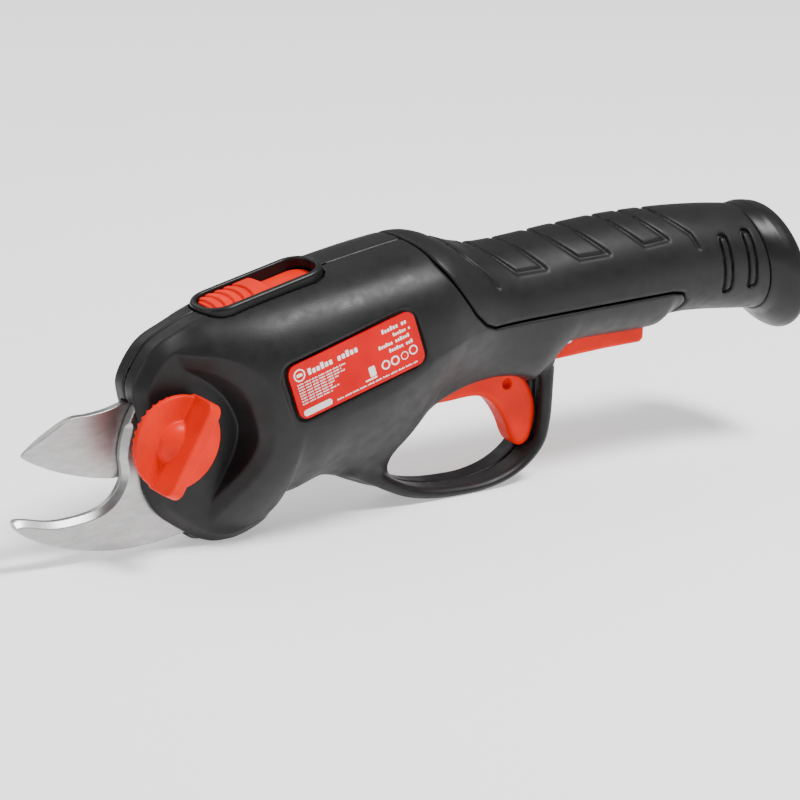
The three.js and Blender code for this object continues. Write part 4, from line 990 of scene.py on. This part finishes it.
def word_row(left, right, middle, height):
    """A row of short bars of uneven height, spaced like letters in words."""
    pitch = height * LETTER["pitch"]
    low = middle - height / 2
    marks = []
    for k in range(int((right - left) / pitch)):
        if (k + 1) % LETTER["space_every"]:
            tall = height * (LETTER["low"] if k % LETTER["tall_every"] else 1.0)
            x0 = left + k * pitch
            marks.append(mark(x0, x0 + pitch * LETTER["width"], low, low + tall, pitch * LETTER["corner"]))
    return marks


def label_face():
    """The label itself."""
    along_half, up_half = LABEL["length"] / 2, LABEL["height"] / 2
    return [rounded_plate(-along_half, along_half, -up_half, up_half, 0, LABEL["thick"], LABEL["corner"])]


def label_print():
    """Plain marks in the places of the label's print: bars for words, rings, a pill and a box."""
    marks = [mark(*bar) for bar in BARS] + [ring_mark(*ring) for ring in RINGS]
    for row in WORDS:
        marks += word_row(*row)
    return marks


# ---------------------------------------------------------------- the object

skin("left_shell", STEP, left_shell, "handle", "housing", "left_housing")
skin("right_shell", STEP, right_shell, "handle", "housing", "right_housing")
skin("soft_grip", STEP, soft_grip, "handle", "sleeve", "grip_sleeve")
skin("bezel_ring", FINE, bezel_ring, "handle", "trim", "lock_bezel")
skin("thumb_slider", FINE, thumb_slider, "lock_slider", "red", "lock_slider")
skin("trigger_lever", FINE, trigger_lever, "trigger", "red", "trigger")
skin("grip_bar", FINE, grip_bar, "safety_bar", "red", "safety_bar")
skin("knob_fin", FINE, knob_fin, "knob", "red", "blade_knob")
skin("hook_blade", EDGE, hook_blade, "handle", "blade", "counter_blade")
skin("moving_blade", EDGE, moving_blade, "cutting_blade", "blade", "cutting_blade")
skin("rear_end", CAP_STEP, rear_end, "handle", "trim", "rear_cap")

coil("trigger_coil", "trigger_spring", turns=4)
coil("bar_coil", "bar_spring", turns=3)

face_piece = mesh_piece("label_plate", *on_label(label_face()), "handle", "label", "rating_label")
print_piece = mesh_piece("label_marks", *on_label(label_print()), "handle", "label")
print_piece.data.materials[0] = print_material()  # in the label's slot, but paler
for flat_piece in (face_piece, print_piece):
    flat_piece.data.shade_flat()

# The parts inside are shown as the frame has them, in this scene's materials.
for node in frame["record"]["subparts"]:
    kept = frame["nodes"][node["node"]]
    if not kept.hide_render:
        kept.data.materials.clear()
        kept.data.materials.append(MATERIALS[node["material_slot"]])

# ---------------------------------------------------------------- floor, light and camera

FLOOR_REACH = 6.0
WORLD_STRENGTH = 0.3
LOOK_AT = Vector((0, 0, 0.04))
LIGHTS = [
    {"name": "key", "place": (0.35, -0.45, 1.2), "size": 0.4, "power": 30},
    {"name": "rim", "place": (-0.2, 0.8, 0.9), "size": 0.9, "power": 4},
    {"name": "side", "place": (-1.1, 0.1, 0.5), "size": 0.5, "power": 4},
]
CAMERA_AT = (-766.6, -1095.3, 481.0)
CAMERA_BACK = Vector((-0.5399, -0.7790, 0.3188))
CAMERA_RIGHT = Vector((0.8282, -0.5592, 0.0362))
CAMERA_LENS = 202.5
CAMERA_SENSOR = 36


def floor():
    """A large flat sheet that the tool lies on."""
    corners = [(-1, -1), (1, -1), (1, 1), (-1, 1)]
    mesh = bpy.data.meshes.new("floor")
    mesh.from_pydata([(x * FLOOR_REACH, y * FLOOR_REACH, 0) for x, y in corners], [], [(0, 1, 2, 3)])
    mesh.materials.append(floor_material())
    piece = bpy.data.objects.new("floor", mesh)
    bpy.context.scene.collection.objects.link(piece)


def soft_light(name, place, size, power):
    """A square area light that faces the object."""
    data = bpy.data.lights.new(name, "AREA")
    data.size = size
    data.energy = power
    light = bpy.data.objects.new(name, data)
    light.location = place
    light.rotation_mode = "QUATERNION"
    light.rotation_quaternion = (LOOK_AT - light.location).to_track_quat("-Z", "Y")
    bpy.context.scene.collection.objects.link(light)


def world():
    """Even white light from all round."""
    made = bpy.data.worlds.new("studio")
    made.use_nodes = True
    background = made.node_tree.nodes["Background"]
    background.inputs["Color"].default_value = (1, 1, 1, 1)
    background.inputs["Strength"].default_value = WORLD_STRENGTH
    bpy.context.scene.world = made


def camera():
    """A long lens, standing where the photograph was taken from."""
    data = bpy.data.cameras.new("camera")
    data.sensor_width = CAMERA_SENSOR
    data.lens = CAMERA_LENS
    made = bpy.data.objects.new("camera", data)
    back = CAMERA_BACK.normalized()
    right = (CAMERA_RIGHT - back * CAMERA_RIGHT.dot(back)).normalized()
    turn = Matrix((right, back.cross(right), back)).transposed().to_4x4()
    place = (Vector(CAMERA_AT) + Vector((SHIFT, 0, 0))) * MM
    made.matrix_world = Matrix.Translation(place) @ turn
    bpy.context.scene.collection.objects.link(made)
    bpy.context.scene.camera = made


floor()
world()
for lamp in LIGHTS:
    soft_light(**lamp)
camera()
